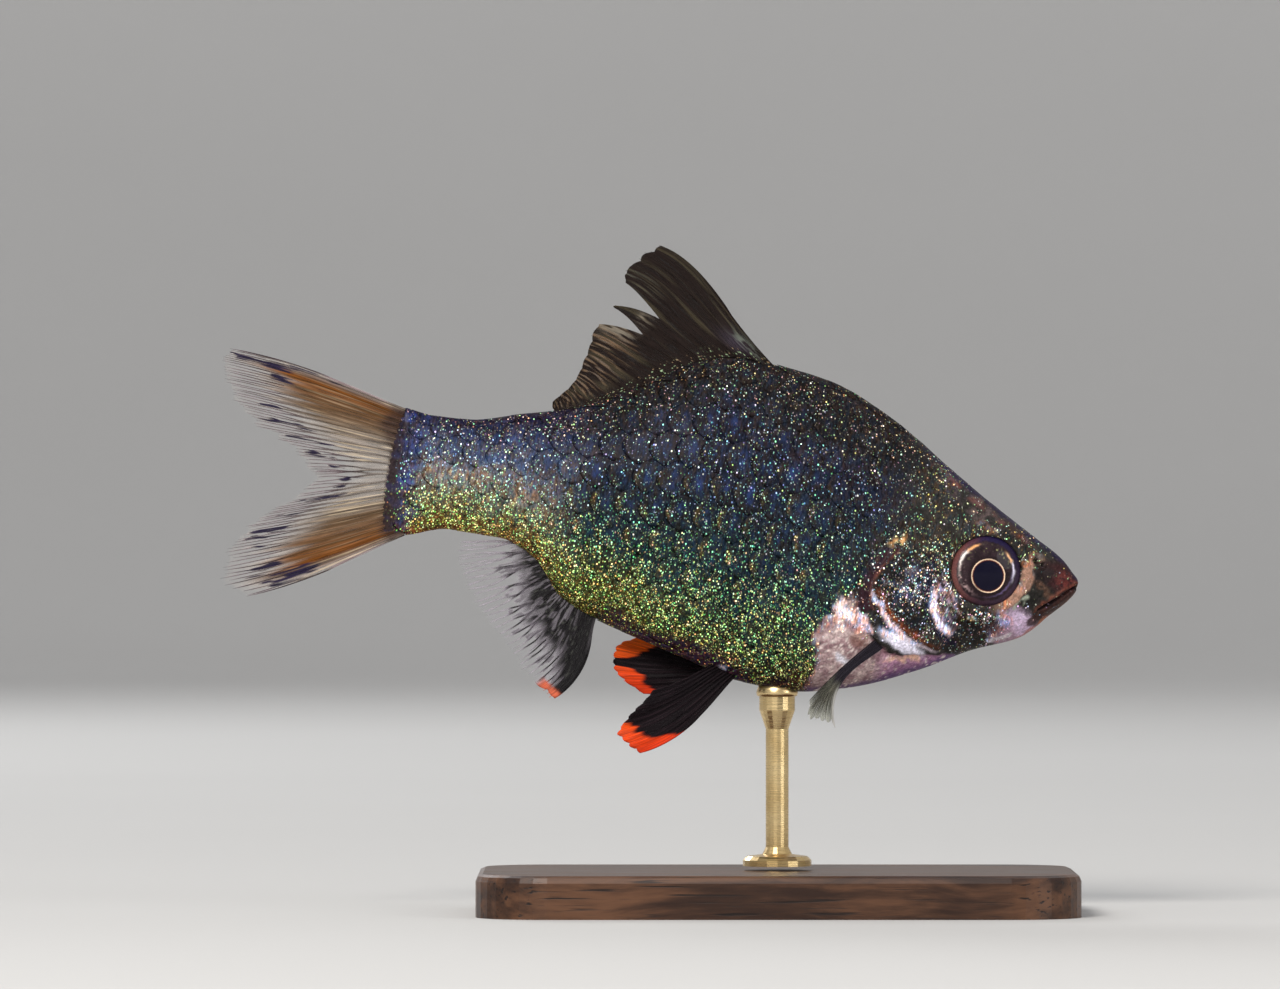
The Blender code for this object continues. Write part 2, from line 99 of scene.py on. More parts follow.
WIDEST = (
    (0.0, 0.0),
    (6.6, -0.6),
    (12.0, -1.2),
    (20.0, -0.3),
    (28.0, 0.4),
    (36.0, 0.3),
    (44.0, 0.4),
    (48.3, -0.1),
)
BACK_KEEL = ((0.0, 0.80), (6.6, 0.80), (12.0, 0.95), (20.0, 1.15), (30.0, 1.20), (44.0, 1.05), (48.3, 1.0))
BELLY_KEEL = ((0.0, 0.90), (8.0, 0.95), (14.0, 0.85), (22.0, 0.85), (30.0, 1.05), (44.0, 1.0), (48.3, 1.0))
BODY_LENGTH = 48.3
CAP_BULGE = 0.04
TAIL_FLESH = 0.45

# How deep the skin lies under the scales, and how the scales rise from root to rear edge
SKIN_DEPTH = 0.13
SCALE_ROOT = -0.09
SCALE_RISE = 0.020
SCALE_LENGTH = 3.0
SCALE_PITCH = ((10.0, 1.80), (30.0, 1.80), (47.0, 1.60))
ROW_PITCH = ((10.0, 2.20), (26.0, 2.30), (42.0, 1.80), (48.0, 1.70))
SCALE_OVERLAP = 0.62
SCALE_ROUND = 0.40
# The pitch at which a scale has its full length, the first and last roots by s, and how many fit between them
FULL_PITCH = 1.8
FIRST_SCALE = 10.2
LAST_SCALE = 45.6
SCALES_IN_A_ROW = 24

EYE = (6.55, -0.12)
EYE_RADIUS = 2.48
PUPIL = (6.36, -0.42)
PUPIL_RADIUS = 1.06
DORSAL_BASE = (23.0, 38.0)
ANAL_BASE = (32.8, 38.9)


def smooth_through(stations, column, at):
    """The value of one column at each place, by a cubic through the stations that never overshoots."""
    rows = np.array(stations, float)
    x, y = rows[:, 0], rows[:, column]
    step = np.diff(x)
    slope = np.diff(y) / step
    tangent = np.zeros_like(y)
    turning = slope[:-1] * slope[1:] > 0
    before, after = 2 * step[1:] + step[:-1], step[1:] + 2 * step[:-1]
    safe = np.where(turning, slope[:-1] * slope[1:], 1.0)
    mean = (before + after) * safe / np.where(turning, before * slope[1:] + after * slope[:-1], 1.0)
    tangent[1:-1] = np.where(turning, mean, 0.0)
    tangent[0], tangent[-1] = slope[0], slope[-1]
    at = np.clip(np.asarray(at, float), x[0], x[-1])
    k = np.clip(np.searchsorted(x, at) - 1, 0, len(step) - 1)
    t = (at - x[k]) / step[k]
    return (
        y[k] * (1 + 2 * t) * (1 - t) ** 2
        + tangent[k] * step[k] * t * (1 - t) ** 2
        + y[k + 1] * t * t * (3 - 2 * t)
        + tangent[k + 1] * step[k] * t * t * (t - 1)
    )


def along(stations, column, s):
    """A body table read at s. Its cubic runs over the root of s, which rounds the snout."""
    rows = [(math.sqrt(row[0]), *row[1:]) for row in stations]
    return smooth_through(rows, column, np.sqrt(np.maximum(s, 0)))


def body_surface(s, angle):
    """Points of the body. The angle is 0 on the back and turns through the right side: the height follows
    its cosine, and the half width follows its sine raised to the keel."""
    top, bottom = along(OUTLINE, 1, s), along(OUTLINE, 2, s)
    wide, level = along(HALF_WIDTH, 1, s), along(WIDEST, 1, s)
    rise = np.cos(angle)
    keel = np.where(rise > 0, along(BACK_KEEL, 1, s), along(BELLY_KEEL, 1, s))
    reach = np.where(rise > 0, top - level, level - bottom)
    side = np.sin(angle)
    y = -wide * np.sign(side) * np.abs(side) ** keel
    return np.stack(np.broadcast_arrays(-s, y, level + reach * rise), -1)


def share_up(s, h):
    """Height on the body as a share: 1 on the back, 0 at its widest level, -1 under the belly."""
    top, bottom, level = along(OUTLINE, 1, s), along(OUTLINE, 2, s), along(WIDEST, 1, s)
    return np.clip(np.where(h > level, (h - level) / (top - level), (h - level) / (level - bottom)), -1.2, 1.2)


def soft(x, low, high):
    """0 below low and 1 above high, with an S curve between."""
    t = np.clip((x - low) / (high - low), 0, 1)
    return t * t * (3 - 2 * t)


def hump(x, centre, half):
    """A bell curve of height 1."""
    return np.exp(-(((x - centre) / half) ** 2))


def stops(x, table):
    """Values read along a table whose rows are x and then the values, by straight lines between the rows."""
    rows = np.array(table, float)
    return np.stack([np.interp(x, rows[:, 0], rows[:, k]) for k in range(1, rows.shape[1])], -1)


def mottle(a, b, size, seed):
    """Smooth noise from -1 to 1 over a plane: random values on a lattice of that size, blended by S curves."""
    lattice = np.random.default_rng(seed).uniform(-1, 1, (64, 64))
    a, b = np.asarray(a) / size, np.asarray(b) / size
    i, j = np.floor(a).astype(int), np.floor(b).astype(int)
    u, v = soft(a - i, 0, 1), soft(b - j, 0, 1)
    low = lattice[i % 64, j % 64] * (1 - u) + lattice[(i + 1) % 64, j % 64] * u
    high = lattice[i % 64, (j + 1) % 64] * (1 - u) + lattice[(i + 1) % 64, (j + 1) % 64] * u
    return low * (1 - v) + high * v


def smooth_line(points, steps=48):
    """A curve through the points, by uniform Catmull-Rom cubics."""
    p = np.array(points, float)
    p = np.concatenate([2 * p[:1] - p[1:2], p, 2 * p[-1:] - p[-2:-1]])
    at = np.linspace(0, len(p) - 3, steps)
    k = np.clip(at.astype(int), 0, len(p) - 4)
    t = (at - k)[:, None]
    a, b, c, d = p[k], p[k + 1], p[k + 2], p[k + 3]
    return b + 0.5 * t * (c - a + t * (2 * a - 5 * b + 4 * c - d + t * (3 * (b - c) + d - a)))


def from_line(s, h, points, steps=48):
    """Distance of each place from a smooth line, the same with a sign (plus on the left of its run), and the
    share of the line at the nearest point."""
    line = smooth_line(points, steps)
    start, run = line[:-1], np.diff(line, axis=0)
    off_s, off_h = s[..., None] - start[:, 0], h[..., None] - start[:, 1]
    t = np.clip((off_s * run[:, 0] + off_h * run[:, 1]) / (run**2).sum(1), 0, 1)
    gap = np.hypot(off_s - run[:, 0] * t, off_h - run[:, 1] * t)
    near = gap.argmin(-1)[..., None]
    pick = lambda values: np.take_along_axis(values, near, -1)[..., 0]
    turn = pick(run[:, 0] * off_h - run[:, 1] * off_s)
    return pick(gap), pick(gap) * np.sign(turn), (near[..., 0] + pick(t)) / (steps - 1)


def patch(s, h, centre, half, turn=0.0, rim=0.35):
    """1 inside a tilted ellipse, falling to 0 across its soft rim. The turn is in degrees."""
    c, q = math.cos(math.radians(turn)), math.sin(math.radians(turn))
    ds, dh = s - centre[0], h - centre[1]
    away = np.hypot((ds * c + dh * q) / half[0], (dh * c - ds * q) / half[1])
    return 1 - soft(away, 1 - rim, 1 + rim)


def lay_over(colour, mask, above):
    """A colour blended over another by a mask."""
    return colour * (1 - mask[..., None]) + np.array(above) * mask[..., None]


def to_model(points):
    """Fish frame to the model's frame, still in millimetres: tipped nose-down and moved to the snout's place."""
    x, y, h = points[..., 0], points[..., 1], points[..., 2]
    c, q = math.cos(NOSE_DOWN), math.sin(NOSE_DOWN)
    return np.stack([SNOUT_X + x * c + h * q, y, SNOUT_Z - x * q + h * c], -1)


def grid_quads(rows, columns, wrap=False):
    """Corner numbers of the quads over a grid of points, row by row. With wrap the columns close."""
    r, c = np.mgrid[0 : rows - 1, 0 : columns if wrap else columns - 1]
    d = (c + 1) % columns
    corners = (r * columns + c, r * columns + d, (r + 1) * columns + d, (r + 1) * columns + c)
    return np.stack(corners, -1).reshape(-1, 4)


def make_piece(name, points, faces, material, values=None, uv=None, stands_for=()):
    """A finished piece. Faces are arrays of corner numbers, values are point attributes by name, and uv holds
    maps by name, each with one place for every point."""
    mesh = bpy.data.meshes.new(name)
    corners = np.concatenate([f.ravel() for f in faces]).astype(np.int32)
    totals = np.concatenate([np.full(len(f), f.shape[1]) for f in faces])
    starts = np.concatenate([[0], np.cumsum(totals)[:-1]]).astype(np.int32)
    mesh.vertices.add(len(points))
    mesh.vertices.foreach_set("co", (points * MM).astype(np.float32).ravel())
    mesh.loops.add(len(corners))
    mesh.loops.foreach_set("vertex_index", corners)
    mesh.polygons.add(len(totals))
    mesh.polygons.foreach_set("loop_start", starts)
    mesh.update(calc_edges=True)
    mesh.shade_smooth()
    for key, value in (values or {}).items():
        value = np.asarray(value, np.float32)
        if value.ndim == 1:
            mesh.attributes.new(key, "FLOAT", "POINT").data.foreach_set("value", value)
        else:
            mesh.attributes.new(key, "FLOAT_VECTOR", "POINT").data.foreach_set("vector", value.ravel())
    for key, place in (uv or {}).items():
        mesh.uv_layers.new(name=key).data.foreach_set("uv", place[corners].astype(np.float32).ravel())
    mesh.materials.append(material)
    obj = bpy.data.objects.new(name, mesh)
    bpy.context.scene.collection.objects.link(obj)
    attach(obj, "root")
    if stands_for:
        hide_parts(*stands_for)
    return obj


class Shader:
    """A material and short calls that add nodes to it. A socket or a plain value may be given anywhere."""

    def __init__(self, name, **constants):
        self.material = bpy.data.materials.new(name)
        self.material.use_nodes = True
        self.tree = self.material.node_tree
        self.surface = self.tree.nodes["Principled BSDF"]
        for key, value in constants.items():
            self.surface.inputs[key.replace("_", " ")].default_value = value

    def feed(self, socket, value):
        if isinstance(value, bpy.types.NodeSocket):
            self.tree.links.new(value, socket)
        else:
            socket.default_value = value

    def drive(self, **sockets):
        """Feeds sockets of the surface, with _ for a space in their names."""
        for key, value in sockets.items():
            self.feed(self.surface.inputs[key.replace("_", " ")], value)
        return self.material

    def add(self, kind, inputs=(), out=0, **settings):
        node = self.tree.nodes.new("ShaderNode" + kind)
        for key, value in settings.items():
            setattr(node, key, value)
        for key, value in inputs.items() if isinstance(inputs, dict) else enumerate(inputs):
            self.feed(node.inputs[key], value)
        return node.outputs[out]

    def math(self, operation, *values):
        return self.add("Math", values, operation=operation)

    def product(self, *values):
        """All the values multiplied together."""
        total = values[0]
        for value in values[1:]:
            total = self.math("MULTIPLY", total, value)
        return total

    def times(self, colour, share):
        return self.add("VectorMath", {"Vector": colour, "Scale": share}, operation="SCALE")

    def plus(self, a, b):
        return self.add("VectorMath", (a, b), operation="ADD")

    def mix(self, share, a, b):
        colours = {0: share, 6: a, 7: b}
        return self.add("Mix", colours, out=2, data_type="RGBA", clamp_factor=True)

    def attribute(self, name, out="Vector"):
        return self.add("Attribute", out=out, attribute_name=name)

    def object_place(self):
        return self.add("TexCoord", out="Object")

    def soft(self, value, low, high, to_low=0.0, to_high=1.0):
        inputs = {0: value, 1: low, 2: high, 3: to_low, 4: to_high}
        return self.add("MapRange", inputs, interpolation_type="SMOOTHSTEP")

    def noise(self, place, scale, detail=3.0, roughness=0.5):
        inputs = {"Vector": place, "Scale": scale, "Detail": detail, "Roughness": roughness}
        return self.add("TexNoise", inputs)

    def stretched(self, place, scale, move=(0, 0, 0)):
        return self.add("Mapping", {"Vector": place, "Scale": scale, "Location": move})

    def bump(self, height, distance, strength=1.0):
        return self.add("Bump", {"Height": height, "Distance": distance, "Strength": strength})

    def parts(self, colour):
        """The red, green and blue of a colour as three sockets."""
        self.add("SeparateColor", {0: colour})
        return self.tree.nodes[-1].outputs


# Colours are linear red, green, blue. The flank's are read by the share of height, back to belly.
FLANK_GROUND = (
    (-1.0, 0.026, 0.014, 0.010),
    (-0.85, 0.012, 0.016, 0.014),
    (-0.4, 0.007, 0.015, 0.020),
    (0.05, 0.009, 0.012, 0.017),
    (0.5, 0.010, 0.010, 0.018),
    (0.8, 0.010, 0.010, 0.011),
    (1.0, 0.010, 0.008, 0.009),
)
STALK_GROUND = (
    (-1.0, 0.095, 0.035, 0.010),
    (-0.8, 0.085, 0.052, 0.018),
    (-0.4, 0.072, 0.070, 0.050),
    (0.0, 0.140, 0.120, 0.105),
    (0.35, 0.040, 0.052, 0.095),
    (0.65, 0.022, 0.026, 0.055),
    (1.0, 0.012, 0.010, 0.024),
)
FLANK_GLINT = (
    (-1.0, 0.62, 0.82, 0.16),
    (-0.8, 0.44, 0.98, 0.26),
    (-0.3, 0.28, 0.82, 0.36),
    (0.1, 0.30, 0.60, 0.42),
    (0.6, 0.48, 0.62, 0.46),
    (1.0, 0.62, 0.68, 0.46),
)
SECOND_GLINT = (
    (-1.0, 0.84, 0.44, 0.12),
    (-0.8, 0.96, 0.80, 0.20),
    (-0.3, 0.62, 0.60, 0.24),
    (0.1, 0.16, 0.28, 0.46),
    (0.6, 0.20, 0.24, 0.46),
    (1.0, 0.66, 0.42, 0.26),
)
GLINT_AMOUNT = (
    (-1.0, 0.78),
    (-0.85, 0.78),
    (-0.45, 0.65),
    (-0.1, 0.42),
    (0.3, 0.29),
    (0.7, 0.22),
    (1.0, 0.20),
)
MOST_GLINTS = 0.93


def flank_paint(s, h, t):
    """Colours and pattern strengths of the flank: the ground, two glint colours, how many glints there are,
    how strong the gold streak and the blue heart of a scale show, and how far the stalk's colours set in."""
    up = share_up(s, h) + 0.10 * mottle(s, t, 2.6, 3)
    stalk = soft(s + 0.5 * mottle(s, t, 1.8, 5), 34.0, 39.5)
    ground = stops(up, FLANK_GROUND) * (1 - 0.85 * stalk[..., None])
    ground = ground + stops(up, STALK_GROUND) * (0.85 * stalk[..., None])
    ground = ground * (1 + 0.30 * mottle(s, t, 0.9, 7))[..., None]
    rear_belly = soft(s, 22.0, 33.0) * soft(-up, 0.25, 0.80)
    ground = lay_over(ground, 0.5 * rear_belly * (1 - stalk), (0.040, 0.042, 0.008))
    glint, second = stops(up, FLANK_GLINT), stops(up, SECOND_GLINT)
    glint = lay_over(glint, 0.5 * rear_belly, (0.54, 0.92, 0.12))
    second = lay_over(second, 0.7 * rear_belly, (0.92, 0.66, 0.09))
    amount = stops(up, GLINT_AMOUNT)[..., 0] * (1 + 0.10 * mottle(s, t, 1.5, 9))
    amount = amount + 0.22 * stalk + 0.08 * rear_belly
    amount = amount + 0.05 * soft(-up, 0.2, 0.6) * (1 - soft(s, 20.0, 27.0))
    # Dark purple flesh along the belly over the pelvic fins, with one small white painted highlight
    bare = soft(-up, 0.88, 1.0) * soft(s, 17.5, 20.5) * (1 - soft(s, 31.0, 34.0))
    ground = lay_over(ground, 0.85 * bare, (0.024, 0.010, 0.026))
    amount = amount * (1 - 0.65 * bare)
    painted_highlight = patch(s, h, (23.7, -9.95), (0.55, 0.16), 12) * soft(mottle(s, t, 0.14, 13), -0.2, 0.3)
    ground = lay_over(ground, painted_highlight, (0.75, 0.80, 1.0))
    # The dark bar at the root of the tail fin with its brown end, and the lines on the stalk's two edges
    bar = soft(s + 0.35 * mottle(s, t, 0.8, 11), 45.9, 47.8)
    blotted = soft(mottle(s, t, 0.55, 15), -0.3, 0.4)[..., None]
    ground = lay_over(ground, 0.9 * bar, (0.012, 0.010, 0.020))
    ground = ground + bar[..., None] * blotted * np.array((0.008, 0.018, 0.075))
    amount = amount * (1 - 0.40 * bar)
    past_end = s + 0.25 * mottle(s, t, 0.5, 17) - np.interp(h, (-4.8, -0.1, 4.4), (47.0, 48.1, 48.6))
    end = soft(past_end, -0.25, 0.25)
    ground = lay_over(ground, (0.70 + 0.25 * mottle(s, t, 0.4, 19)) * end, (0.030, 0.018, 0.016))
    amount = amount * (1 - 0.9 * end)
    line = soft(s, 36.0, 40.0) * soft(up, 0.86, 0.98)
    ground = lay_over(ground, 0.85 * line, (0.007, 0.005, 0.016))
    amount = amount * (1 - 0.6 * line)
    under = soft(s, 38.0, 41.0) * soft(-up, 0.93, 1.02) * (1 - bar)
    ground = lay_over(ground, 0.8 * under, (0.160, 0.045, 0.012))
    amount = amount * (1 - 0.5 * under)
    blue = hump(up, 0.30, 0.42) * soft(s, 15.0, 22.0) * (1 - 0.4 * bar)
    gold = hump(up, -0.10, 0.42) * (1 - bar) * (1 - 0.3 * stalk)
    return {
        "Ground": ground,
        "Glint": glint,
        "SecondGlint": second,
        "Amount": np.clip(amount, 0.0, MOST_GLINTS),
        "Blue": blue,
        "Gold": gold,
        "Stalk": stalk,
    }


# Lines on the head, as s, h from one end to the other
OPERCLE_EDGE = ((12.6, 1.5), (13.2, 0.6), (13.6, -0.4), (14.0, -1.3), (14.15, -2.3), (13.75, -3.1), (13.05, -4.0))
OPERCLE_EDGE += ((12.03, -4.95), (10.9, -5.55), (9.7, -5.9), (8.5, -6.1))
GILL_OPENING = ((12.5, 2.1), (13.4, 1.0), (14.2, -0.2), (14.8, -1.2), (15.05, -2.4), (15.0, -3.6), (14.75, -4.6))
GILL_OPENING += ((14.2, -5.5), (13.2, -6.3), (12.1, -6.95), (10.8, -6.75), (9.3, -6.55), (7.9, -6.35))
MEMBRANE = ((13.05, 0.7), (13.56, -0.1), (14.2, -0.9), (14.6, -1.75), (14.7, -2.6), (14.6, -3.55), (14.35, -4.3))
PREOPERCLE = ((10.0, 0.4), (10.15, -0.9), (10.07, -2.06), (9.78, -3.1), (9.25, -4.1), (8.53, -4.73), (7.2, -5.15))
# The preopercle's ridge: silver skin with a painted highlight along its crest
PREOPERCLE_SILVER_AND_HIGHLIGHT = ((10.0, -1.5), (9.84, -2.75), (9.55, -3.7), (9.08, -4.33), (8.53, -4.73), (8.0, -4.95))
CHEEK_GROOVE = ((10.5, 0.2), (10.6, -1.2), (10.5, -2.3), (10.1, -3.3), (9.55, -4.3), (8.9, -5.05), (7.9, -5.55))
MOUTH = ((0.02, -0.12), (0.54, -0.58), (1.18, -1.15), (1.9, -1.72), (2.45, -2.2))
UPPER_JAW_FOLD = ((1.2, 0.5), (1.75, -0.25), (2.3, -1.1), (2.75, -1.9), (2.9, -2.7))
UNDER_EYE = ((3.32, -1.54), (3.87, -2.05), (4.92, -2.9), (5.95, -3.35), (6.86, -3.62), (7.9, -3.5), (8.7, -3.0))
TAN_CRESCENT = ((4.0, 1.35), (3.62, 0.7), (3.5, -0.1), (3.72, -0.9), (4.3, -1.65), (5.1, -2.3), (6.1, -2.75))
JAW_BAND = ((0.35, -0.75), (1.1, -1.5), (2.0, -2.35), (2.8, -3.2))
WHITE_STREAK = ((5.5, -4.85), (4.9, -4.6), (4.2, -4.25))
THROAT_FLECKS = ((13.3, -8.0), (12.1, -7.55), (11.1, -7.15), (10.2, -6.95))
NOSTRIL = (3.16, 1.18)
FRONT_NOSTRIL = (2.72, 0.95)
# The throat's colour by the share of height
THROAT_PINK = (
    (-1.0, 0.26, 0.12, 0.27),
    (-0.85, 0.47, 0.25, 0.38),
    (-0.7, 0.60, 0.30, 0.38),
    (0.0, 0.50, 0.28, 0.32),
)


def head_relief(s, h):
    """How far the head's skin stands off the plain body, from bell curves and steps along its lines."""
    eye = np.hypot(s - EYE[0], h - EYE[1])
    raised = 0.09 * hump(eye, 2.95, 0.28)
    edge, inside, share = from_line(s, h, OPERCLE_EDGE)
    fade = soft(share, 0.0, 0.12) * (1 - soft(share, 0.9, 1.0))
    plate = soft(-inside, -0.05, 0.07) * (1 - soft(-inside, 0.3, 2.6))
    raised = raised + 0.20 * plate * fade
    edge, inside, share = from_line(s, h, GILL_OPENING)
    fade = soft(share, 0.0, 0.14) * (1 - soft(share, 0.8, 1.0))
    flap = soft(-inside, -0.04, 0.08) * (1 - soft(-inside, 0.5, 2.2))
    raised = raised + fade * (0.20 * flap - 0.20 * hump(inside, 0.14, 0.16))
    edge, inside, share = from_line(s, h, PREOPERCLE)
    fade = soft(share, 0.0, 0.25) * (1 - soft(share, 0.8, 1.0))
    raised = raised + 0.13 * hump(edge, 0, 0.30) * fade
    edge, inside, share = from_line(s, h, CHEEK_GROOVE)
    fade = soft(share, 0.0, 0.25) * (1 - soft(share, 0.8, 1.0))
    raised = raised - 0.15 * hump(edge, 0, 0.20) * fade
    edge, inside, share = from_line(s, h, MOUTH)
    closed = 1 - soft(share, 0.85, 1.0) * soft(edge, 0.0, 0.12)
    lips = 0.02 + 0.08 * soft(s, 0.4, 1.4)
    raised = raised + closed * (lips * hump(edge, 0.26, 0.16) - 0.30 * hump(edge, 0, 0.075))
    edge, inside, share = from_line(s, h, UPPER_JAW_FOLD)
    fade = soft(share, 0.0, 0.3) * (1 - soft(share, 0.8, 1.0))
    raised = raised - 0.07 * hump(edge, 0, 0.09) * fade
    edge, inside, share = from_line(s, h, UNDER_EYE)
    raised = raised + 0.05 * hump(edge, 0, 0.28) - 0.04 * hump(inside, -0.5, 0.14)
    for centre, radius, depth in ((NOSTRIL, 0.20, 0.30), (FRONT_NOSTRIL, 0.12, 0.18)):
        pit = np.hypot(s - centre[0], h - centre[1])
        raised = raised - depth * hump(pit, 0, radius) + 0.09 * hump(pit, radius * 1.75, radius * 0.5)
    # Two folds of the gill membrane under the cover
    for drop in (0.55, 1.0):
        edge, inside, share = from_line(s, h + drop, OPERCLE_EDGE[6:])
        fade = soft(share, 0.05, 0.3) * (1 - soft(share, 0.8, 1.0))
        raised = raised - 0.06 * hump(edge, 0, 0.09) * fade
    return raised + 0.012 * mottle(s, h, 0.45, 21) + 0.02 * mottle(s, h, 1.1, 22)


def head_paint(s, h):
    """Colours of the head and throat, laid over one another from the ground up, edges broken by noise."""
    ws = s + 0.16 * mottle(s, h, 0.7, 31) + 0.07 * mottle(s, h, 0.25, 32)
    wh = h + 0.16 * mottle(s, h, 0.7, 33) + 0.07 * mottle(s, h, 0.25, 34)
    top = along(OUTLINE, 1, s)
    line = lambda points: from_line(ws, wh, points)
    colour = np.zeros(s.shape + (3,)) + (0.021, 0.019, 0.017)
    colour = colour * (1 + 0.35 * mottle(s, h, 0.8, 35))[..., None]
    # Forehead and nape
    smoky = soft(mottle(s, h, 0.35, 37) + 0.6 * mottle(s, h, 0.14, 38), -0.5, 0.7)
    colour = lay_over(colour, 0.55 * patch(ws, wh, (7.5, 3.9), (1.7, 0.8), 38) * smoky, (0.130, 0.088, 0.088))
    colour = lay_over(colour, 0.45 * patch(ws, wh, (9.6, 5.4), (1.6, 0.8), 35) * smoky, (0.080, 0.055, 0.070))
    colour = lay_over(colour, 0.45 * patch(ws, wh, (5.0, 3.0), (1.3, 0.5), 30), (0.055, 0.022, 0.014))
    rim = hump(wh - top, -0.70, 0.22) * soft(mottle(s, h, 0.5, 36), -0.3, 0.6) * soft(ws, 2.5, 4.5)
    colour = lay_over(colour, 0.6 * rim, (0.150, 0.060, 0.055))
    colour = lay_over(colour, 0.92 * soft(wh - top, -0.48, -0.14), (0.012, 0.006, 0.030))
    # Snout and jaws
    colour = lay_over(colour, 0.9 * patch(ws, wh, (1.45, 0.25), (1.45, 0.95), 30), (0.032, 0.010, 0.011))
    blush = patch(ws, wh, (0.85, 0.05), (0.85, 0.50), 40) * soft(mottle(s, h, 0.22, 39), -0.6, 0.4)
    colour = lay_over(colour, 0.8 * blush, (0.120, 0.026, 0.022))
    colour = lay_over(colour, 0.8 * patch(ws, wh, (2.5, 0.1), (0.5, 0.9), 20), (0.012, 0.008, 0.008))
    colour = lay_over(colour, 0.5 * patch(ws, wh, (2.3, -0.8), (0.8, 0.3), 40) * smoky, (0.120, 0.060, 0.038))
    cheek = patch(ws, wh, (3.65, -3.55), (1.5, 1.05), 20)
    colour = lay_over(colour, 0.96 * cheek, (0.58, 0.42, 0.58))
    pale = patch(ws, wh, (3.5, -3.1), (0.75, 0.5), 25) * soft(mottle(s, h, 0.4, 50), -0.5, 0.4)
    colour = lay_over(colour, 0.8 * pale, (0.70, 0.56, 0.76))
    colour = lay_over(colour, 0.9 * patch(ws, wh, (4.4, -4.5), (1.8, 0.62), 25), (0.40, 0.26, 0.33))
    bottom = along(OUTLINE, 2, s)
    chin = (1 - soft(wh - bottom, 0.1, 0.3)) * (1 - soft(ws, 3.0, 4.2))
    colour = lay_over(colour, 0.7 * chin, (0.34, 0.10, 0.035))
    away, side, share = line(JAW_BAND)
    colour = lay_over(colour, 0.9 * (1 - soft(away, 0.24, 0.44)), (0.040, 0.016, 0.013))
    # The mouth's slit is painted near black, a painted shade in the slit, with reddish lips beside it
    away, side, share = line(MOUTH)
    colour = lay_over(colour, 0.9 * (1 - soft(away, 0.05, 0.16)), (0.010, 0.005, 0.006))
    colour = lay_over(colour, 0.6 * hump(side, 0.26, 0.11), (0.16, 0.045, 0.028))
    # Around the eye
    away, side, share = line(TAN_CRESCENT)
    fade = soft(share, 0.0, 0.15) * (1 - soft(share, 0.72, 1.0))
    colour = lay_over(colour, 0.92 * (1 - soft(away, 0.28, 0.50)) * fade, (0.31, 0.175, 0.125))
    colour = lay_over(colour, 0.90 * patch(ws, wh, (7.3, -3.95), (2.6, 0.80), -4), (0.014, 0.011, 0.010))
    away, side, share = line(UNDER_EYE)
    silver = (1 - soft(away, 0.05, 0.25)) * soft(mottle(s, h, 0.22, 41), -0.1, 0.5)
    colour = lay_over(colour, 0.75 * silver, (0.42, 0.46, 0.36))
    away, side, share = line(WHITE_STREAK)
    colour = lay_over(colour, 0.85 * (1 - soft(away, 0.06, 0.20)), (0.62, 0.56, 0.60))
    colour = lay_over(colour, 0.8 * patch(ws, wh, (3.15, 1.42), (0.55, 0.34), 10), (0.17, 0.10, 0.07))
    # The nostril pits are painted near black: painted shade in the pits
    for centre, radius in ((NOSTRIL, 0.20), (FRONT_NOSTRIL, 0.12)):
        pit = np.hypot(s - centre[0], h - centre[1])
        colour = lay_over(colour, 1 - soft(pit, radius * 0.8, radius * 1.4), (0.012, 0.008, 0.008))
    # Throat, from the chin to the breast
    away, side, share = from_line(ws, wh, GILL_OPENING)
    low = soft(-wh, 5.6, 6.6) * soft(ws, 6.5, 8.5) * soft(side, -0.15, 0.1)
    pink = stops(share_up(s, h), THROAT_PINK) * (1 + 0.22 * mottle(s, h, 0.45, 53))[..., None]
    colour = lay_over(colour, 0.95 * low, pink)
    breast = soft(side, -0.05, 0.15) * soft(ws, 12.0, 13.5) * soft(-wh, 3.0, 4.4)
    cloudy = soft(mottle(s, h, 0.5, 46) + 0.5 * mottle(s, h, 0.2, 48), -0.6, 0.6)[..., None]
    flesh = cloudy * np.array((0.50, 0.38, 0.37)) + (1 - cloudy) * np.array((0.27, 0.17, 0.18))
    colour = lay_over(colour, 0.95 * breast, flesh)
    colour = lay_over(colour, 0.9 * soft(bottom - wh, -0.55, -0.10) * np.maximum(low, breast), (0.10, 0.05, 0.16))
    grains = soft(mottle(s, h, 0.13, 49), 0.45, 0.8) * np.maximum(low, breast)
    colour = lay_over(colour, 0.8 * grains, (0.85, 0.74, 0.70))
    colour = lay_over(colour, 0.6 * patch(ws, wh, (14.5, -6.3), (0.7, 0.6)), (0.15, 0.055, 0.030))
    for place, half in (((15.5, -7.8), (0.60, 0.30)), ((16.4, -3.9), (0.5, 0.4)), ((15.8, -4.5), (0.6, 0.35))):
        colour = lay_over(colour, 0.9 * patch(ws, wh, place, half, 30), (0.80, 0.78, 0.88))
    away, side, share = line(THROAT_FLECKS)
    flecks = (1 - soft(away, 0.1, 0.45)) * soft(mottle(s, h, 0.30, 43), -0.1, 0.4)
    colour = lay_over(colour, 0.85 * flecks, (0.85, 0.52, 0.36))
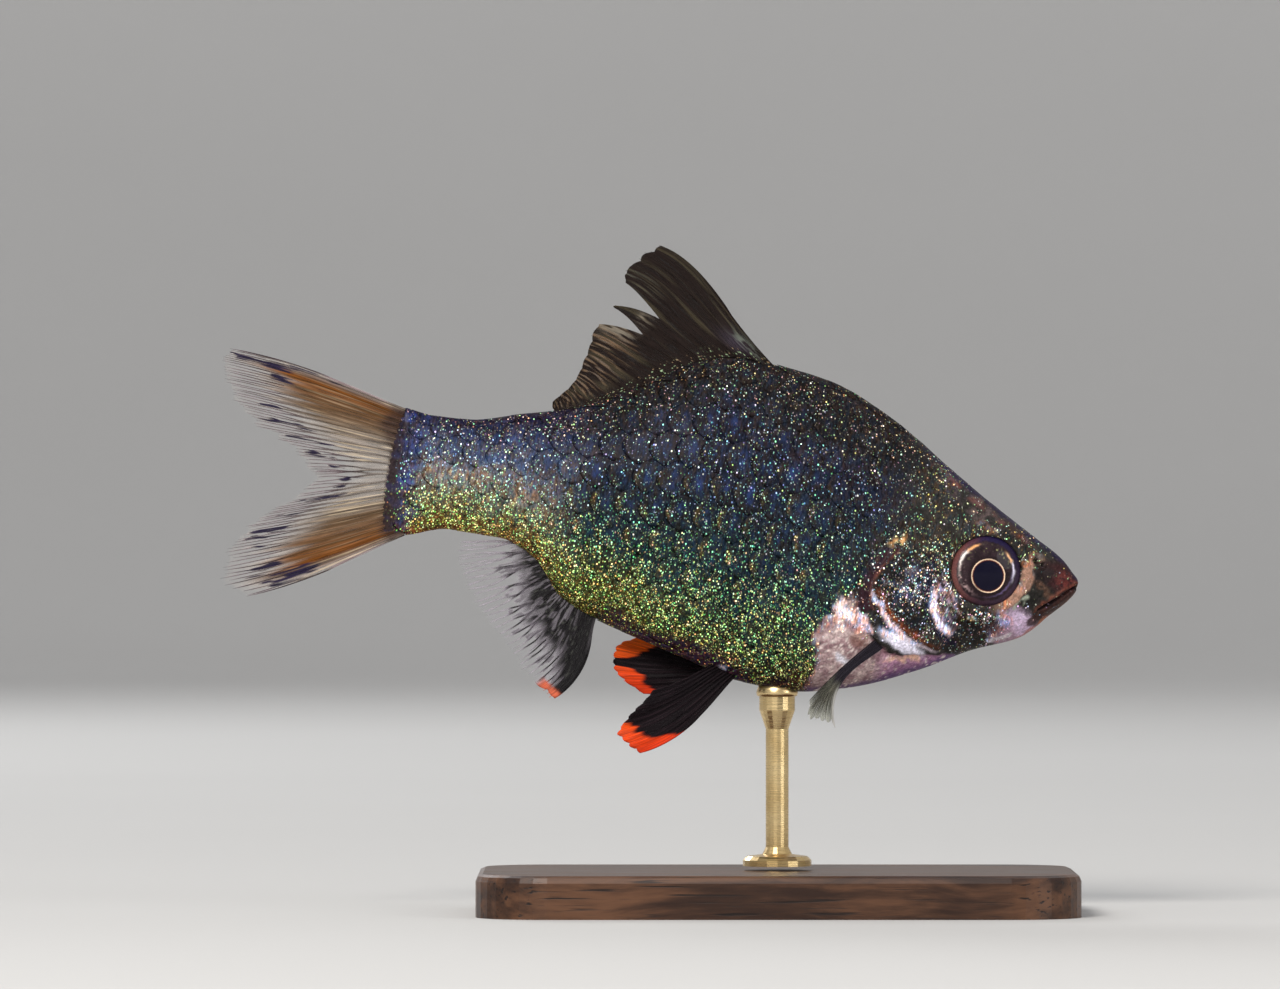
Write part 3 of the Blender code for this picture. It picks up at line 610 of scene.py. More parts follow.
    # Gill cover
    cover = patch(ws, wh, (11.7, -2.6), (2.4, 3.3), 12, rim=0.12)
    colour = lay_over(colour, 0.85 * cover, (0.008, 0.008, 0.009))
    sheen = patch(ws, wh, (12.0, -1.9), (1.3, 1.6), 20) * soft(mottle(s, h, 0.5, 44), -0.1, 0.6)
    colour = lay_over(colour, 0.55 * sheen, (0.070, 0.080, 0.140))
    away, side, share = line(CHEEK_GROOVE)
    colour = lay_over(colour, 0.85 * (1 - soft(away, 0.1, 0.35)), (0.008, 0.007, 0.020))
    # Lavender specks round the preopercle, and its ridge in silver with a painted highlight along it, broken in
    # places
    away, side, share = line(PREOPERCLE_SILVER_AND_HIGHLIGHT)
    fade = soft(share, 0.0, 0.25) * (1 - soft(share, 0.75, 1.0))
    torn = soft(mottle(s, h, 0.28, 42) + 0.9, -0.1, 0.35)
    near = patch(ws, wh, (9.0, -3.0), (0.9, 1.8), -20) * soft(mottle(s - 0.5 * h, 0.4 * h, 0.13, 45), -0.5, 0.8)
    colour = lay_over(colour, 0.7 * near, (0.36, 0.27, 0.36))
    colour = lay_over(colour, 0.98 * (1 - soft(away, 0.14, 0.36)) * fade * torn, (0.84, 0.80, 1.0))
    away, side, share = line(OPERCLE_EDGE)
    low_edge = soft(share, 0.40, 0.50) * (1 - soft(share, 0.92, 1.0))
    wide = np.interp(share, (0.4, 0.6, 0.75, 1.0), (0.18, 0.26, 0.34, 0.14))
    white = soft(side, -0.02, 0.06) * (1 - soft(side - wide, -0.06, 0.16)) * low_edge
    colour = lay_over(colour, 0.95 * white, (0.72, 0.60, 0.68))
    wedge = patch(ws, wh, (11.6, -6.05), (1.7, 0.42), 22)
    colour = lay_over(colour, 0.95 * wedge, (0.80, 0.76, 0.90))
    colour = lay_over(colour, 0.8 * hump(side, -0.20, 0.18) * low_edge, (0.13, 0.038, 0.016))
    away, side, share = line(MEMBRANE)
    fade = soft(share, 0.0, 0.1) * (1 - soft(share, 0.95, 1.0))
    colour = lay_over(colour, 0.95 * (1 - soft(away, 0.36, 0.54)) * fade, (0.024, 0.009, 0.014))
    colour = lay_over(colour, 0.5 * hump(side, -0.46, 0.09) * fade, (0.13, 0.045, 0.032))
    # White-lilac membrane at the lower rear corner of the gill opening, partly a painted highlight
    colour = lay_over(colour, 0.85 * patch(ws, wh, (14.4, -5.0), (0.75, 0.38), 50), (0.72, 0.62, 0.76))
    gold = patch(ws, wh, (13.1, 0.85), (0.7, 0.35), -40) * soft(mottle(s, h, 0.3, 47), -0.3, 0.3)
    colour = lay_over(colour, 0.8 * gold, (0.50, 0.33, 0.14))
    return colour


def head_glints(s, h):
    """How many glints the head carries, and their two colours."""
    amount = 0.30 + 0.16 * mottle(s, h, 1.2, 51) + 0.30 * mottle(s, h, 0.40, 52)
    amount = amount + 0.32 * patch(s, h, (9.9, -1.6), (1.6, 3.4)) + 0.24 * patch(s, h, (12.3, -1.2), (1.8, 2.8))
    amount = amount + 0.30 * patch(s, h, (6.0, -3.4), (2.6, 0.5)) + 0.14 * patch(s, h, (7.6, 3.0), (1.8, 0.5))
    forehead = (1 - soft(s, 7.5, 12.0)) * soft(h, 2.0, 4.0)
    amount = amount * (1 - 0.86 * forehead)
    snout = 1 - soft(s + 0.3 * h, 2.4, 4.4)
    throat = soft(-h, 5.4, 6.4) * soft(s, 4.0, 8.0)
    away, side, share = from_line(s, h, MEMBRANE)
    bare = (1 - soft(away, 0.30, 0.50)) * soft(share, 0.0, 0.15)
    amount = amount * (1 - 0.9 * snout) * (1 - 0.95 * throat) * (1 - 0.7 * bare)
    silver = soft(-h, -1.5, 2.0)[..., None]
    glint = np.array((0.46, 0.70, 0.46)) * (1 - silver) + np.array((0.88, 0.88, 1.00)) * silver
    second = np.array((0.66, 0.58, 0.24)) * (1 - silver) + np.array((0.88, 0.68, 0.60)) * silver
    return amount, glint, second


# Where the head's own skin ends and the scales begin: height, distance behind the snout
SCALE_FRONT = ((-12.0, 17.0), (-8.5, 17.3), (-6.0, 17.4), (-4.0, 16.8), (-2.5, 15.5), (0.0, 14.7), (2.0, 13.7))
SCALE_FRONT += ((4.5, 12.9), (7.0, 12.0), (9.0, 11.3), (12.5, 11.0))


def scale_front(h):
    return np.interp(h, [row[0] for row in SCALE_FRONT], [row[1] for row in SCALE_FRONT])


def skin_paint(s, h, t):
    """The flank's and the head's colours as one set, blended where the scales begin."""
    paint = flank_paint(s, h, t)
    edge = scale_front(h) + 0.50 * mottle(s, h, 0.8, 61) + 0.34 * mottle(s, h, 0.25, 62)
    blend = np.interp(h, (-4.5, 1.5), (0.35, 2.0))
    body = soft((s - edge) / blend, -1.0, 0.6)
    head = s < 20.5
    ground = paint["Ground"].copy()
    ground[head] = lay_over(head_paint(s[head], h[head]), body[head], paint["Ground"][head])
    amount, glint, second = head_glints(s, h)
    paint["Ground"] = ground
    paint["Amount"] = np.clip(amount * (1 - body) + paint["Amount"] * body, 0, MOST_GLINTS)
    paint["Glint"] = glint * (1 - body[..., None]) + paint["Glint"] * body[..., None]
    paint["SecondGlint"] = second * (1 - body[..., None]) + paint["SecondGlint"] * body[..., None]
    paint["Blue"] = paint["Blue"] * body
    paint["Gold"] = paint["Gold"] * body
    return paint


# Glint layers: cell width in millimetres, its height over its width, a shift, strength and tint
GLINTS = (
    (0.128, 1.30, 0.0, 2.20, (1.0, 1.0, 1.0)),
    (0.082, 1.45, 7.3, 1.15, (0.92, 1.0, 1.02)),
)


def add_glitter(shader, ground, amount, first, second):
    """Lays two sizes of glints over a colour. Every Voronoi cell of the body's lay is one glint. Its brightness
    is a random number raised to a power that falls as the amount grows, so that few glints are bright on the
    back and many are under the belly. Random numbers also choose and tint its colour. The brightest glints get
    a pale flash, which is stronger where there are more of them."""
    lay = shader.attribute("Lay")
    rarity = shader.math("SUBTRACT", 1.0, amount)
    rarity = shader.math("MULTIPLY_ADD", shader.math("POWER", rarity, 2.0), 30.0, 3.2)
    present = shader.soft(amount, 0.0, 0.12)
    flare = shader.soft(amount, 0.35, 0.75, 0.85, 2.0)
    colour, total = ground, 0.0
    for size, tall, shift, strength, tint in GLINTS:
        place = shader.stretched(lay, (1 / size, 1 / (size * tall), 1.0), move=(shift, shift, 0))
        shader.add("TexVoronoi", {"Vector": place, "Scale": 1.0, "Randomness": 0.95}, voronoi_dimensions="3D")
        cell = shader.tree.nodes[-1]
        lot, pick, power = shader.parts(cell.outputs["Color"])
        chance = shader.add("TexWhiteNoise", {"Vector": cell.outputs["Position"]}, out=1)
        spread = {0: chance, 1: (1.40, 0.50, 1.20), 2: (0.30, 0.75, 0.33)}
        tints = shader.add("VectorMath", spread, operation="MULTIPLY_ADD")
        tints = shader.add("VectorMath", (tints, tint), operation="MULTIPLY")
        dot = shader.soft(cell.outputs["Distance"], 0.16, 0.60, 1.0, 0.0)
        level = shader.product(shader.math("POWER", lot, rarity), dot)
        flash = shader.product(shader.math("POWER", level, 2.5), present, flare)
        level = shader.product(level, present, strength)
        glint = shader.mix(shader.soft(pick, 0.35, 0.65), first, second)
        glint = shader.add("VectorMath", (glint, tints), operation="MULTIPLY")
        colour = shader.plus(colour, shader.times(glint, level))
        colour = shader.plus(colour, shader.times((0.50, 0.58, 0.50), flash))
        total = shader.math("ADD", total, level)
    return colour, shader.math("MINIMUM", total, 1.0)


def streaked(shader, ground):
    """Ground broken into fine upright strokes, some warmer and some cooler."""
    lay = shader.attribute("Lay")
    stroke = shader.noise(shader.stretched(lay, (6.5, 2.0, 1.0)), 1.0, 3.0, 0.65)
    ground = shader.times(ground, shader.soft(stroke, 0.30, 0.72, 0.35, 2.0))
    tone = shader.noise(shader.stretched(lay, (2.6, 1.1, 1.0), move=(9, 4, 0)), 1.0, 3.0, 0.6)
    tint = shader.mix(shader.soft(tone, 0.35, 0.65), (1.45, 0.95, 0.65, 1), (0.70, 1.0, 1.35, 1))
    return shader.add("VectorMath", (ground, tint), operation="MULTIPLY")


def skin_material():
    """Moist skin: the painted ground, fine mottling, glints, and a thin clear coat."""
    shader = Shader("fish_skin", Coat_Weight=0.07, Coat_Roughness=0.16, Coat_IOR=1.34, Specular_IOR_Level=0.06)
    place = shader.object_place()
    grain = shader.noise(place, 5200.0, 4.0, 0.6)
    ground = shader.attribute("Ground")
    fine = shader.times(ground, shader.soft(grain, 0.3, 0.7, 0.66, 1.36))
    scaly = shader.soft(shader.attribute("Amount", "Fac"), 0.10, 0.30)
    ground = shader.mix(scaly, fine, streaked(shader, ground))
    sockets = shader.attribute("Amount", "Fac"), shader.attribute("Glint"), shader.attribute("SecondGlint")
    colour, level = add_glitter(shader, ground, *sockets)
    pores = shader.noise(place, 9000.0, 2.0)
    return shader.drive(
        Base_Color=colour,
        Metallic=shader.math("MULTIPLY", level, 0.10),
        Roughness=shader.math("MULTIPLY_ADD", level, -0.20, 0.55),
        Normal=shader.bump(pores, 0.00003, 0.35),
    )


def scale_material():
    """Scales: the skin's markings, with a blue heart, a gold streak before the rear edge and a dark rim."""
    shader = Shader("fish_scales", Coat_Weight=0.03, Coat_Roughness=0.22, Coat_IOR=1.34, Specular_IOR_Level=0.04)
    lie = shader.parts(shader.attribute("Lie"))
    across, back, chance = lie[0], lie[1], lie[2]
    place = shader.object_place()
    grain = shader.noise(place, 4200.0, 4.0, 0.65)
    blot = shader.noise(shader.stretched(shader.attribute("Lay"), (1.3, 0.8, 1.0)), 1.0, 3.0, 0.6)
    stroke = shader.noise(shader.stretched(shader.attribute("Lay"), (5.0, 1.6, 1.0), move=(3, 8, 0)), 1.0, 2.0)
    stroke = shader.soft(stroke, 0.40, 0.58, 0.35, 1.0)
    ground = shader.times(streaked(shader, shader.attribute("Ground")), shader.soft(chance, 0, 1, 0.85, 1.15))
    # The heart and the streak stand across the scale and run out before its sides
    inward = shader.soft(shader.math("ABSOLUTE", across), 0.20, 0.72, 1.0, 0.0)
    heart = shader.product(shader.soft(back, 0.42, 0.58), shader.soft(back, 0.60, 0.78, 1.0, 0.0), inward)
    heart = shader.product(heart, shader.attribute("Blue", "Fac"), stroke, shader.soft(blot, 0.42, 0.58))
    ground = shader.mix(shader.math("MULTIPLY", heart, 0.90), ground, (0.018, 0.034, 0.110, 1))
    streak = shader.product(shader.soft(back, 0.76, 0.87), shader.soft(back, 0.91, 0.99, 1.0, 0.0), inward)
    streak = shader.product(streak, shader.attribute("Gold", "Fac"), stroke, shader.soft(blot, 0.64, 0.46))
    ground = shader.mix(shader.math("MULTIPLY", streak, 0.65), ground, (0.070, 0.045, 0.009, 1))
    amount = shader.math("MULTIPLY_ADD", streak, 0.30, shader.attribute("Amount", "Fac"))
    amount = shader.math("MULTIPLY_ADD", heart, -0.06, amount)
    # Fewer glints where the scale in front casts its shade, and more towards the rear edge
    amount = shader.math("ADD", amount, shader.soft(back, 0.42, 0.80, -0.10, 0.07))
    gilt = shader.math("MULTIPLY", streak, 0.8)
    first = shader.mix(gilt, shader.attribute("Glint"), (0.70, 0.62, 0.12, 1))
    second = shader.mix(gilt, shader.attribute("SecondGlint"), (0.80, 0.30, 0.07, 1))
    colour, level = add_glitter(shader, ground, shader.math("MINIMUM", amount, MOST_GLINTS), first, second)
    rim = shader.math("ADD", back, shader.math("MULTIPLY", shader.math("POWER", across, 2.0), 0.03))
    dark = shader.math("MULTIPLY_ADD", shader.attribute("Stalk", "Fac"), 0.45, 0.12)
    rim = shader.product(shader.soft(rim, 0.93, 0.99), shader.soft(blot, 0.42, 0.65), dark)
    colour = shader.mix(rim, colour, (0.006, 0.006, 0.010, 1))
    return shader.drive(
        Base_Color=colour,
        Metallic=shader.math("MULTIPLY", level, 0.10),
        Roughness=shader.math("MULTIPLY_ADD", level, -0.22, 0.58),
        Normal=shader.bump(grain, 0.00003, 0.4),
    )


def distance_round(rings):
    """Distance along every ring of points, from its first point to each of its points."""
    step = np.linalg.norm(np.diff(rings, axis=1), axis=-1)
    return np.concatenate([np.zeros((len(rings), 1)), np.cumsum(step, axis=1)], axis=1)


# Rings and columns of the skin. The head has most of the rings, and the columns crowd on the sides.
HEAD_RINGS = 165
TRUNK_RINGS = 122
SKIN_COLUMNS = 316
HEAD_END = 16.0
# The head's relief is worked out only in front of this place
RELIEF_END = 19.5
# The lay's third value on the left side. It is 0 on the right, so that the two sides get different glints.
LEFT_LAY = 40.0


def make_skin(material):
    """One skin from the lips to the root of the tail fin, in rings of the body surface. It is moved along its
    normals by the head's relief and sunk under the scales, and closed at both ends by shrinking rings."""
    head = HEAD_END * np.linspace(0, 1, HEAD_RINGS, endpoint=False) ** 1.35
    trunk = np.linspace(HEAD_END, BODY_LENGTH, TRUNK_RINGS)
    s = np.concatenate([head, trunk])
    turn = np.linspace(0, TAU, SKIN_COLUMNS, endpoint=False)
    angle = turn + 0.17 * np.sin(2 * turn)
    place = body_surface(s[:, None], angle[None, :])
    height = place[..., 2]
    grid_s = np.broadcast_to(s[:, None], height.shape)

    # The orbit is flattened onto the plane that the eye stands on
    side = np.where(place[..., 1] > 0, 1.0, -1.0)
    eye = np.hypot(grid_s - EYE[0], height - EYE[1])
    flat = 1 - soft(eye, 2.6, 4.2)
    place[..., 1] = place[..., 1] * (1 - flat) + side * eye_plane(grid_s, height) * flat
    place[..., 1] -= side * 1.1 * (1 - soft(eye, 2.25, 2.50))

    normal = np.cross(np.gradient(place, axis=0), np.roll(place, -1, 1) - np.roll(place, 1, 1))
    normal /= np.linalg.norm(normal, axis=-1, keepdims=True) + 1e-12
    outward = np.stack([0 * height, place[..., 1], height - along(WIDEST, 1, grid_s)], -1)
    normal *= np.sign((normal * outward).sum(-1, keepdims=True).sum(1, keepdims=True))
    covered = soft(grid_s - scale_front(height), 0.2, 3.0)
    lift = -SKIN_DEPTH * covered * (1 - 0.6 * soft(grid_s, 47.0, 48.3))
    near = s < RELIEF_END
    lateral = soft(np.abs(place[near, :, 1]), 0.0, 0.5)
    relief = head_relief(grid_s[near], height[near])
    lift[near] += relief * (1 - covered[near]) * np.where(grid_s[near] < 3.0, 1.0, lateral)
    socket = 1 - soft(eye, 2.3, 2.6)
    lift = lift * (1 - socket)
    place = place + normal * lift[..., None]

    # Distance round the body from its mid-lateral line, plus upwards, on either side
    run = distance_round(place)
    quarter, half = SKIN_COLUMNS // 4, SKIN_COLUMNS // 2
    right = run[:, quarter : quarter + 1] - run
    left = run - run[:, quarter * 3 : quarter * 3 + 1]
    t = np.where(np.arange(SKIN_COLUMNS)[None, :] <= half, right, left)

    # Shrinking rings close the lips, and a short wedge of flesh runs into the tail fin
    lip_share = np.sin(np.linspace(0.25, 1, 5)[:-1] * math.pi / 2)
    centre = np.array([0, 0, -0.02])
    forward = np.array([CAP_BULGE, 0, 0])
    lips = [centre + (place[0] - centre) * math.sqrt(1 - k * k) + forward * k for k in lip_share]
    wedge_share = np.linspace(0, 1, 9)[1:]
    end = place[-1]
    bow = 0.25 * (1 - (end[:, 2] / 4.9) ** 2)
    wedge = []
    for k in wedge_share:
        ring = end.copy()
        ring[:, 0] -= k * (TAIL_FLESH + bow)
        ring[:, 1] *= (1 - k) ** 0.8 * 0.9 + 0.1
        ring[:, 2] *= 1 - 0.03 * k
        wedge.append(ring)
    rings = np.concatenate([np.array(lips[::-1]), place, np.array(wedge)])
    first = np.array([[CAP_BULGE, 0, -0.02]])
    last = np.array([[-BODY_LENGTH - TAIL_FLESH - 0.25, 0, -0.1]])
    points = np.concatenate([rings.reshape(-1, 3), first, last])

    rows = len(rings)
    spread = lambda grid: np.concatenate([grid[:1].repeat(len(lips), 0), grid, grid[-1:].repeat(len(wedge), 0)])
    all_s, all_h, all_t = spread(grid_s).copy(), spread(height), spread(t)
    all_s[-len(wedge) :] += (wedge_share * TAIL_FLESH)[:, None]
    paint = skin_paint(all_s.ravel(), all_h.ravel(), all_t.ravel())
    all_side = np.where(rings[..., 1] > 0, LEFT_LAY, 0.0)
    paint["Lay"] = np.stack([all_s, all_t, all_side], -1).reshape(-1, 3)
    paint = {key: np.concatenate([v, v[:1], v[-1:]]) for key, v in paint.items()}

    caps = np.arange(SKIN_COLUMNS)
    following = (caps + 1) % SKIN_COLUMNS
    front = np.stack([np.full_like(caps, rows * SKIN_COLUMNS), following, caps], -1)
    base = (rows - 1) * SKIN_COLUMNS
    rear = np.stack([np.full_like(caps, rows * SKIN_COLUMNS + 1), base + caps, base + following], -1)
    faces = [grid_quads(rows, SKIN_COLUMNS, wrap=True), front, rear]
    nodes = ("head", "lower_jaw", "gill_cover_right", "gill_cover_left", "trunk", "tail_root")
    skin = make_piece("skin", to_model(points), faces, material, paint, stands_for=nodes)
    # The bake's map is the skin's own rings and columns, cut along the back
    corners = np.concatenate([f.ravel() for f in faces])
    column = np.where(corners < rows * SKIN_COLUMNS, corners % SKIN_COLUMNS, 0).astype(float)
    row = np.where(corners < rows * SKIN_COLUMNS, corners // SKIN_COLUMNS + 1, 0).astype(float)
    row[corners == rows * SKIN_COLUMNS + 1] = rows + 1
    quads = len(faces[0]) * 4
    block = column[:quads].reshape(-1, 4)
    wraps = (block.max(1) - block.min(1)) > 2
    block[wraps] = np.where(block[wraps] < 2, block[wraps] + SKIN_COLUMNS, block[wraps])
    for cap in (slice(quads, quads + SKIN_COLUMNS * 3), slice(quads + SKIN_COLUMNS * 3, None)):
        fan = column[cap].reshape(-1, 3)
        pair = fan[:, 1:]
        pair[(pair.max(1) - pair.min(1)) > 2] += (pair[(pair.max(1) - pair.min(1)) > 2] < 2) * SKIN_COLUMNS
        fan[:, 0] = pair.mean(1)
    uv = (np.stack([row / (rows + 1), column / SKIN_COLUMNS], -1) * 0.99 + 0.005).astype(np.float32)
    for name in ("Rings", "OFBake"):
        skin.data.uv_layers.new(name=name).data.foreach_set("uv", uv.ravel())
    skin.data.uv_layers["Rings"].active_render = True
    return skin


def eye_plane(s, h):
    """How far from the middle the plane lies that the eye stands on: it follows the head's slope there."""
    return 3.42 + 0.20 * (s - EYE[0]) - 0.035 * (h - EYE[1])


class Flank:
    """The right side of the body as a smooth sheet in s and t, where t is the distance round the body from
    its mid-lateral line, plus upwards. Rings are read evenly in t, so a place on the sheet is found by
    blending the four grid points round it. It runs a little past the back and the belly."""

    def __init__(self):
        self.s = np.linspace(9.0, 49.0, 200)
        self.t = np.linspace(-17.0, 17.0, 340)
        angle = np.linspace(-0.7, math.pi + 0.7, 420)
        rings = body_surface(self.s[:, None], angle[None, :])
        run = distance_round(rings)
        middle = np.array([np.interp(math.pi / 2, angle, row) for row in run])[:, None]
        back = np.array([np.interp(0, angle, row) for row in run])[:, None]
        belly = np.array([np.interp(math.pi, angle, row) for row in run])[:, None]
        self.top, self.bottom = (middle - back)[:, 0], (middle - belly)[:, 0]
        turned = np.array([np.interp(-self.t, row, angle) for row in run - middle])
        self.grid = body_surface(self.s[:, None], turned)
        normal = np.cross(np.gradient(self.grid, axis=0), np.gradient(self.grid, axis=1))
        normal /= np.linalg.norm(normal, axis=-1, keepdims=True) + 1e-12
        # Outwards is -y in the middle of the right side
        self.normal = normal * np.sign(-normal[len(self.s) // 2, len(self.t) // 2, 1])

    def read(self, grid, s, t):
        i = np.clip((s - self.s[0]) / (self.s[1] - self.s[0]), 0, len(self.s) - 1.001)
        j = np.clip((t - self.t[0]) / (self.t[1] - self.t[0]), 0, len(self.t) - 1.001)
        a, b = i.astype(int), j.astype(int)
        u, v = (i - a)[..., None], (j - b)[..., None]
        low = grid[a, b] * (1 - u) + grid[a + 1, b] * u
        high = grid[a, b + 1] * (1 - u) + grid[a + 1, b + 1] * u
        return low * (1 - v) + high * v


def scale_places(flank):
    """Root places of the scales of one side, as s and row number. Rows stand a row pitch apart, and
    every other row is set back by half a scale. Scales that would cross the back or the belly are left out."""
    rows = np.arange(-8, 9)
    s = np.full(len(rows), FIRST_SCALE)
    found = []
    for step in range(SCALES_IN_A_ROW):
        offset = np.where(rows % 2 == 1, 0.5, 0.0) if step == 0 else 1.0
        s = s + offset * np.interp(s, *np.array(SCALE_PITCH).T)
        found.append(np.stack([s, rows], -1))
    found = np.concatenate(found)
    s, row = found[:, 0], found[:, 1]
    middle = s + 1.6
    pitch = np.interp(middle, *np.array(ROW_PITCH).T)
    t = row * pitch
    top, bottom = np.interp(middle, flank.s, flank.top), np.interp(middle, flank.s, flank.bottom)
    h = flank.read(flank.grid, s + 0.8, t)[:, 2]
    kept = (t < top - 0.28 * pitch) & (t > bottom + 0.28 * pitch)
    kept &= (s > scale_front(h) - 0.4) & (s < LAST_SCALE)
    return np.stack([s[kept], row[kept]], -1)


# Points across and along a scale, and how deep its closed underside reaches
SCALE_ACROSS = 9
SCALE_BACK = 9
PLATE_DEPTH = 0.16
# The bake's map of the scales: the s where it starts, its span, the step between rows and a patch's size
BAKE_START = 9.0
BAKE_SPAN = 41.0
BAKE_ROW = 0.058
BAKE_PATCH = 0.003


def make_scales(name, flank, places, mirror, material, seed, ridge=None):
    """Thin closed plates on the flank. A point of a scale is at its root's s plus its share of the length,
    which shortens towards the sides as a parabola, and at its row's t plus its share of the width. Its
    height over the body rises evenly from root to rear edge, with a slight dome across."""
    count = len(places)
    rng = np.random.default_rng(seed)
    chance = rng.random((count, 4))
    across = np.linspace(-1, 1, SCALE_ACROSS)[None, None, :]
    back = (np.linspace(0, 1, SCALE_BACK) ** 0.85)[None, :, None]
    size = (0.97 + 0.06 * chance[:, 0])[:, None, None]
    root_s, row = places[:, 0][:, None, None], places[:, 1][:, None, None]
    pitch_s = np.interp(root_s, *np.array(SCALE_PITCH).T) / FULL_PITCH
    s = root_s + size * SCALE_LENGTH * pitch_s * back * (1 - SCALE_ROUND * across**2 * back)
    pitch = np.interp(s, *np.array(ROW_PITCH).T)
    middle = row * pitch if ridge is None else np.interp(s, flank.s, ridge)
    half = pitch * SCALE_OVERLAP * size
    taper = 0.80 + 0.20 * soft(back, 0.0, 0.45)
    t = middle + across * half * taper
    if ridge is None:
        # Rows next to the back and the belly draw in before they would cross over
        for limit, way in ((flank.top, 1), (flank.bottom, -1)):
            room = 0.42 * pitch
            excess = np.maximum(way * (t - np.interp(s, flank.s, limit)) + 0.3 * pitch, 0)
            t = t - way * (excess - room * (1 - np.exp(-excess / room)))
    rise = SCALE_RISE * (0.92 + 0.16 * chance[:, 1])[:, None, None]
    lift = SCALE_ROOT + rise * back + 0.008 * (1 - across**2) * back
    lift = lift + 0.008 * (chance[:, 2] - 0.5)[:, None, None] * across * back
    if ridge is not None:
        lift = lift + 0.02
    place = flank.read(flank.grid, s, t)
    normal = flank.read(flank.normal, s, t)
    top = place + normal * lift[..., None]
    centre = top.mean((1, 2)) - normal[:, SCALE_BACK // 2, SCALE_ACROSS // 2] * PLATE_DEPTH

    # Each plate's corner numbers: the grid on top, and a fan from the rim to the centre below
    per = SCALE_ACROSS * SCALE_BACK
    quads = grid_quads(SCALE_BACK, SCALE_ACROSS)
    grid = np.arange(per).reshape(SCALE_BACK, SCALE_ACROSS)
    rim = np.concatenate([grid[0], grid[1:, -1], grid[-1, -2::-1], grid[-2:0:-1, 0]])
    fan = np.stack([rim, np.roll(rim, 1), np.full_like(rim, per)], -1)
    if not mirror:
        quads, fan = quads[:, ::-1], fan[:, ::-1]
    base = (np.arange(count) * (per + 1))[:, None, None]
    faces = [(quads[None] + base).reshape(-1, 4), (fan[None] + base).reshape(-1, 3)]
    points = np.concatenate([top.reshape(count, per, 3), centre[:, None]], axis=1).reshape(-1, 3)
    with_centre = lambda grid: np.concatenate([grid.reshape(count, per), grid[:, :1, :1].reshape(count, 1)], 1)
    full = lambda grid: np.broadcast_to(grid, s.shape)
    all_s, all_t = with_centre(s).ravel(), with_centre(t).ravel()
    all_h = with_centre(place[..., 2]).ravel()
    lie_across, lie_back = with_centre(full(across)).ravel(), with_centre(full(back)).ravel()
    if mirror:
        points = points * (1, -1, 1)
    paint = skin_paint(all_s, all_h, all_t)
    side = np.full_like(all_s, LEFT_LAY if mirror else 0.0)
    paint["Lay"] = np.stack([all_s, all_t, side], -1)
    paint["Lie"] = np.stack([lie_across, lie_back, chance[:, 3].repeat(per + 1)], -1)
    # The bake's map: each scale is a small patch at its root's place on the flank laid flat
    lie = np.stack([0.5 + 0.5 * lie_across, lie_back], -1)
    root = np.stack([(places[:, 0] - BAKE_START) / BAKE_SPAN, 0.5 + places[:, 1] * BAKE_ROW], -1)
    root = root.repeat(per + 1, axis=0)
    maps = {"Plate": lie, "OFBake": root + (lie - 0.5) * BAKE_PATCH}
    scales = make_piece(name, to_model(points), faces, material, paint, maps)
    scales.data.uv_layers["Plate"].active_render = True
    # The walls under a scale stay flat, so that they don't shade its rim
    smooth = np.concatenate([np.ones(len(faces[0]), bool), np.zeros(len(faces[1]), bool)])
    scales.data.polygons.foreach_set("use_smooth", smooth)
    return scales


def make_all_scales(material):
    """The scales of both sides, and the single rows along the back and the belly."""
    flank = Flank()
    places = scale_places(flank)
    make_scales("scales_right", flank, places, False, material, 71)
    make_scales("scales_left", flank, places, True, material, 72)
    back = np.arange(11.2, LAST_SCALE, FULL_PITCH)
    back = back[(back < DORSAL_BASE[0] - 2.2) | (back > DORSAL_BASE[1] - 0.6)]
    belly = np.arange(17.2, LAST_SCALE, FULL_PITCH)
    belly = belly[(belly < ANAL_BASE[0] - 2.0) | (belly > ANAL_BASE[1] - 0.6)]
    for name, roots, ridge, seed in (("back", back, flank.top, 73), ("belly", belly, flank.bottom, 74)):
        places = np.stack([roots, 0 * roots], -1)
        make_scales("scales_" + name, flank, places, False, material, seed, ridge)


EYE_RINGS = 104
EYE_SPOKES = 220


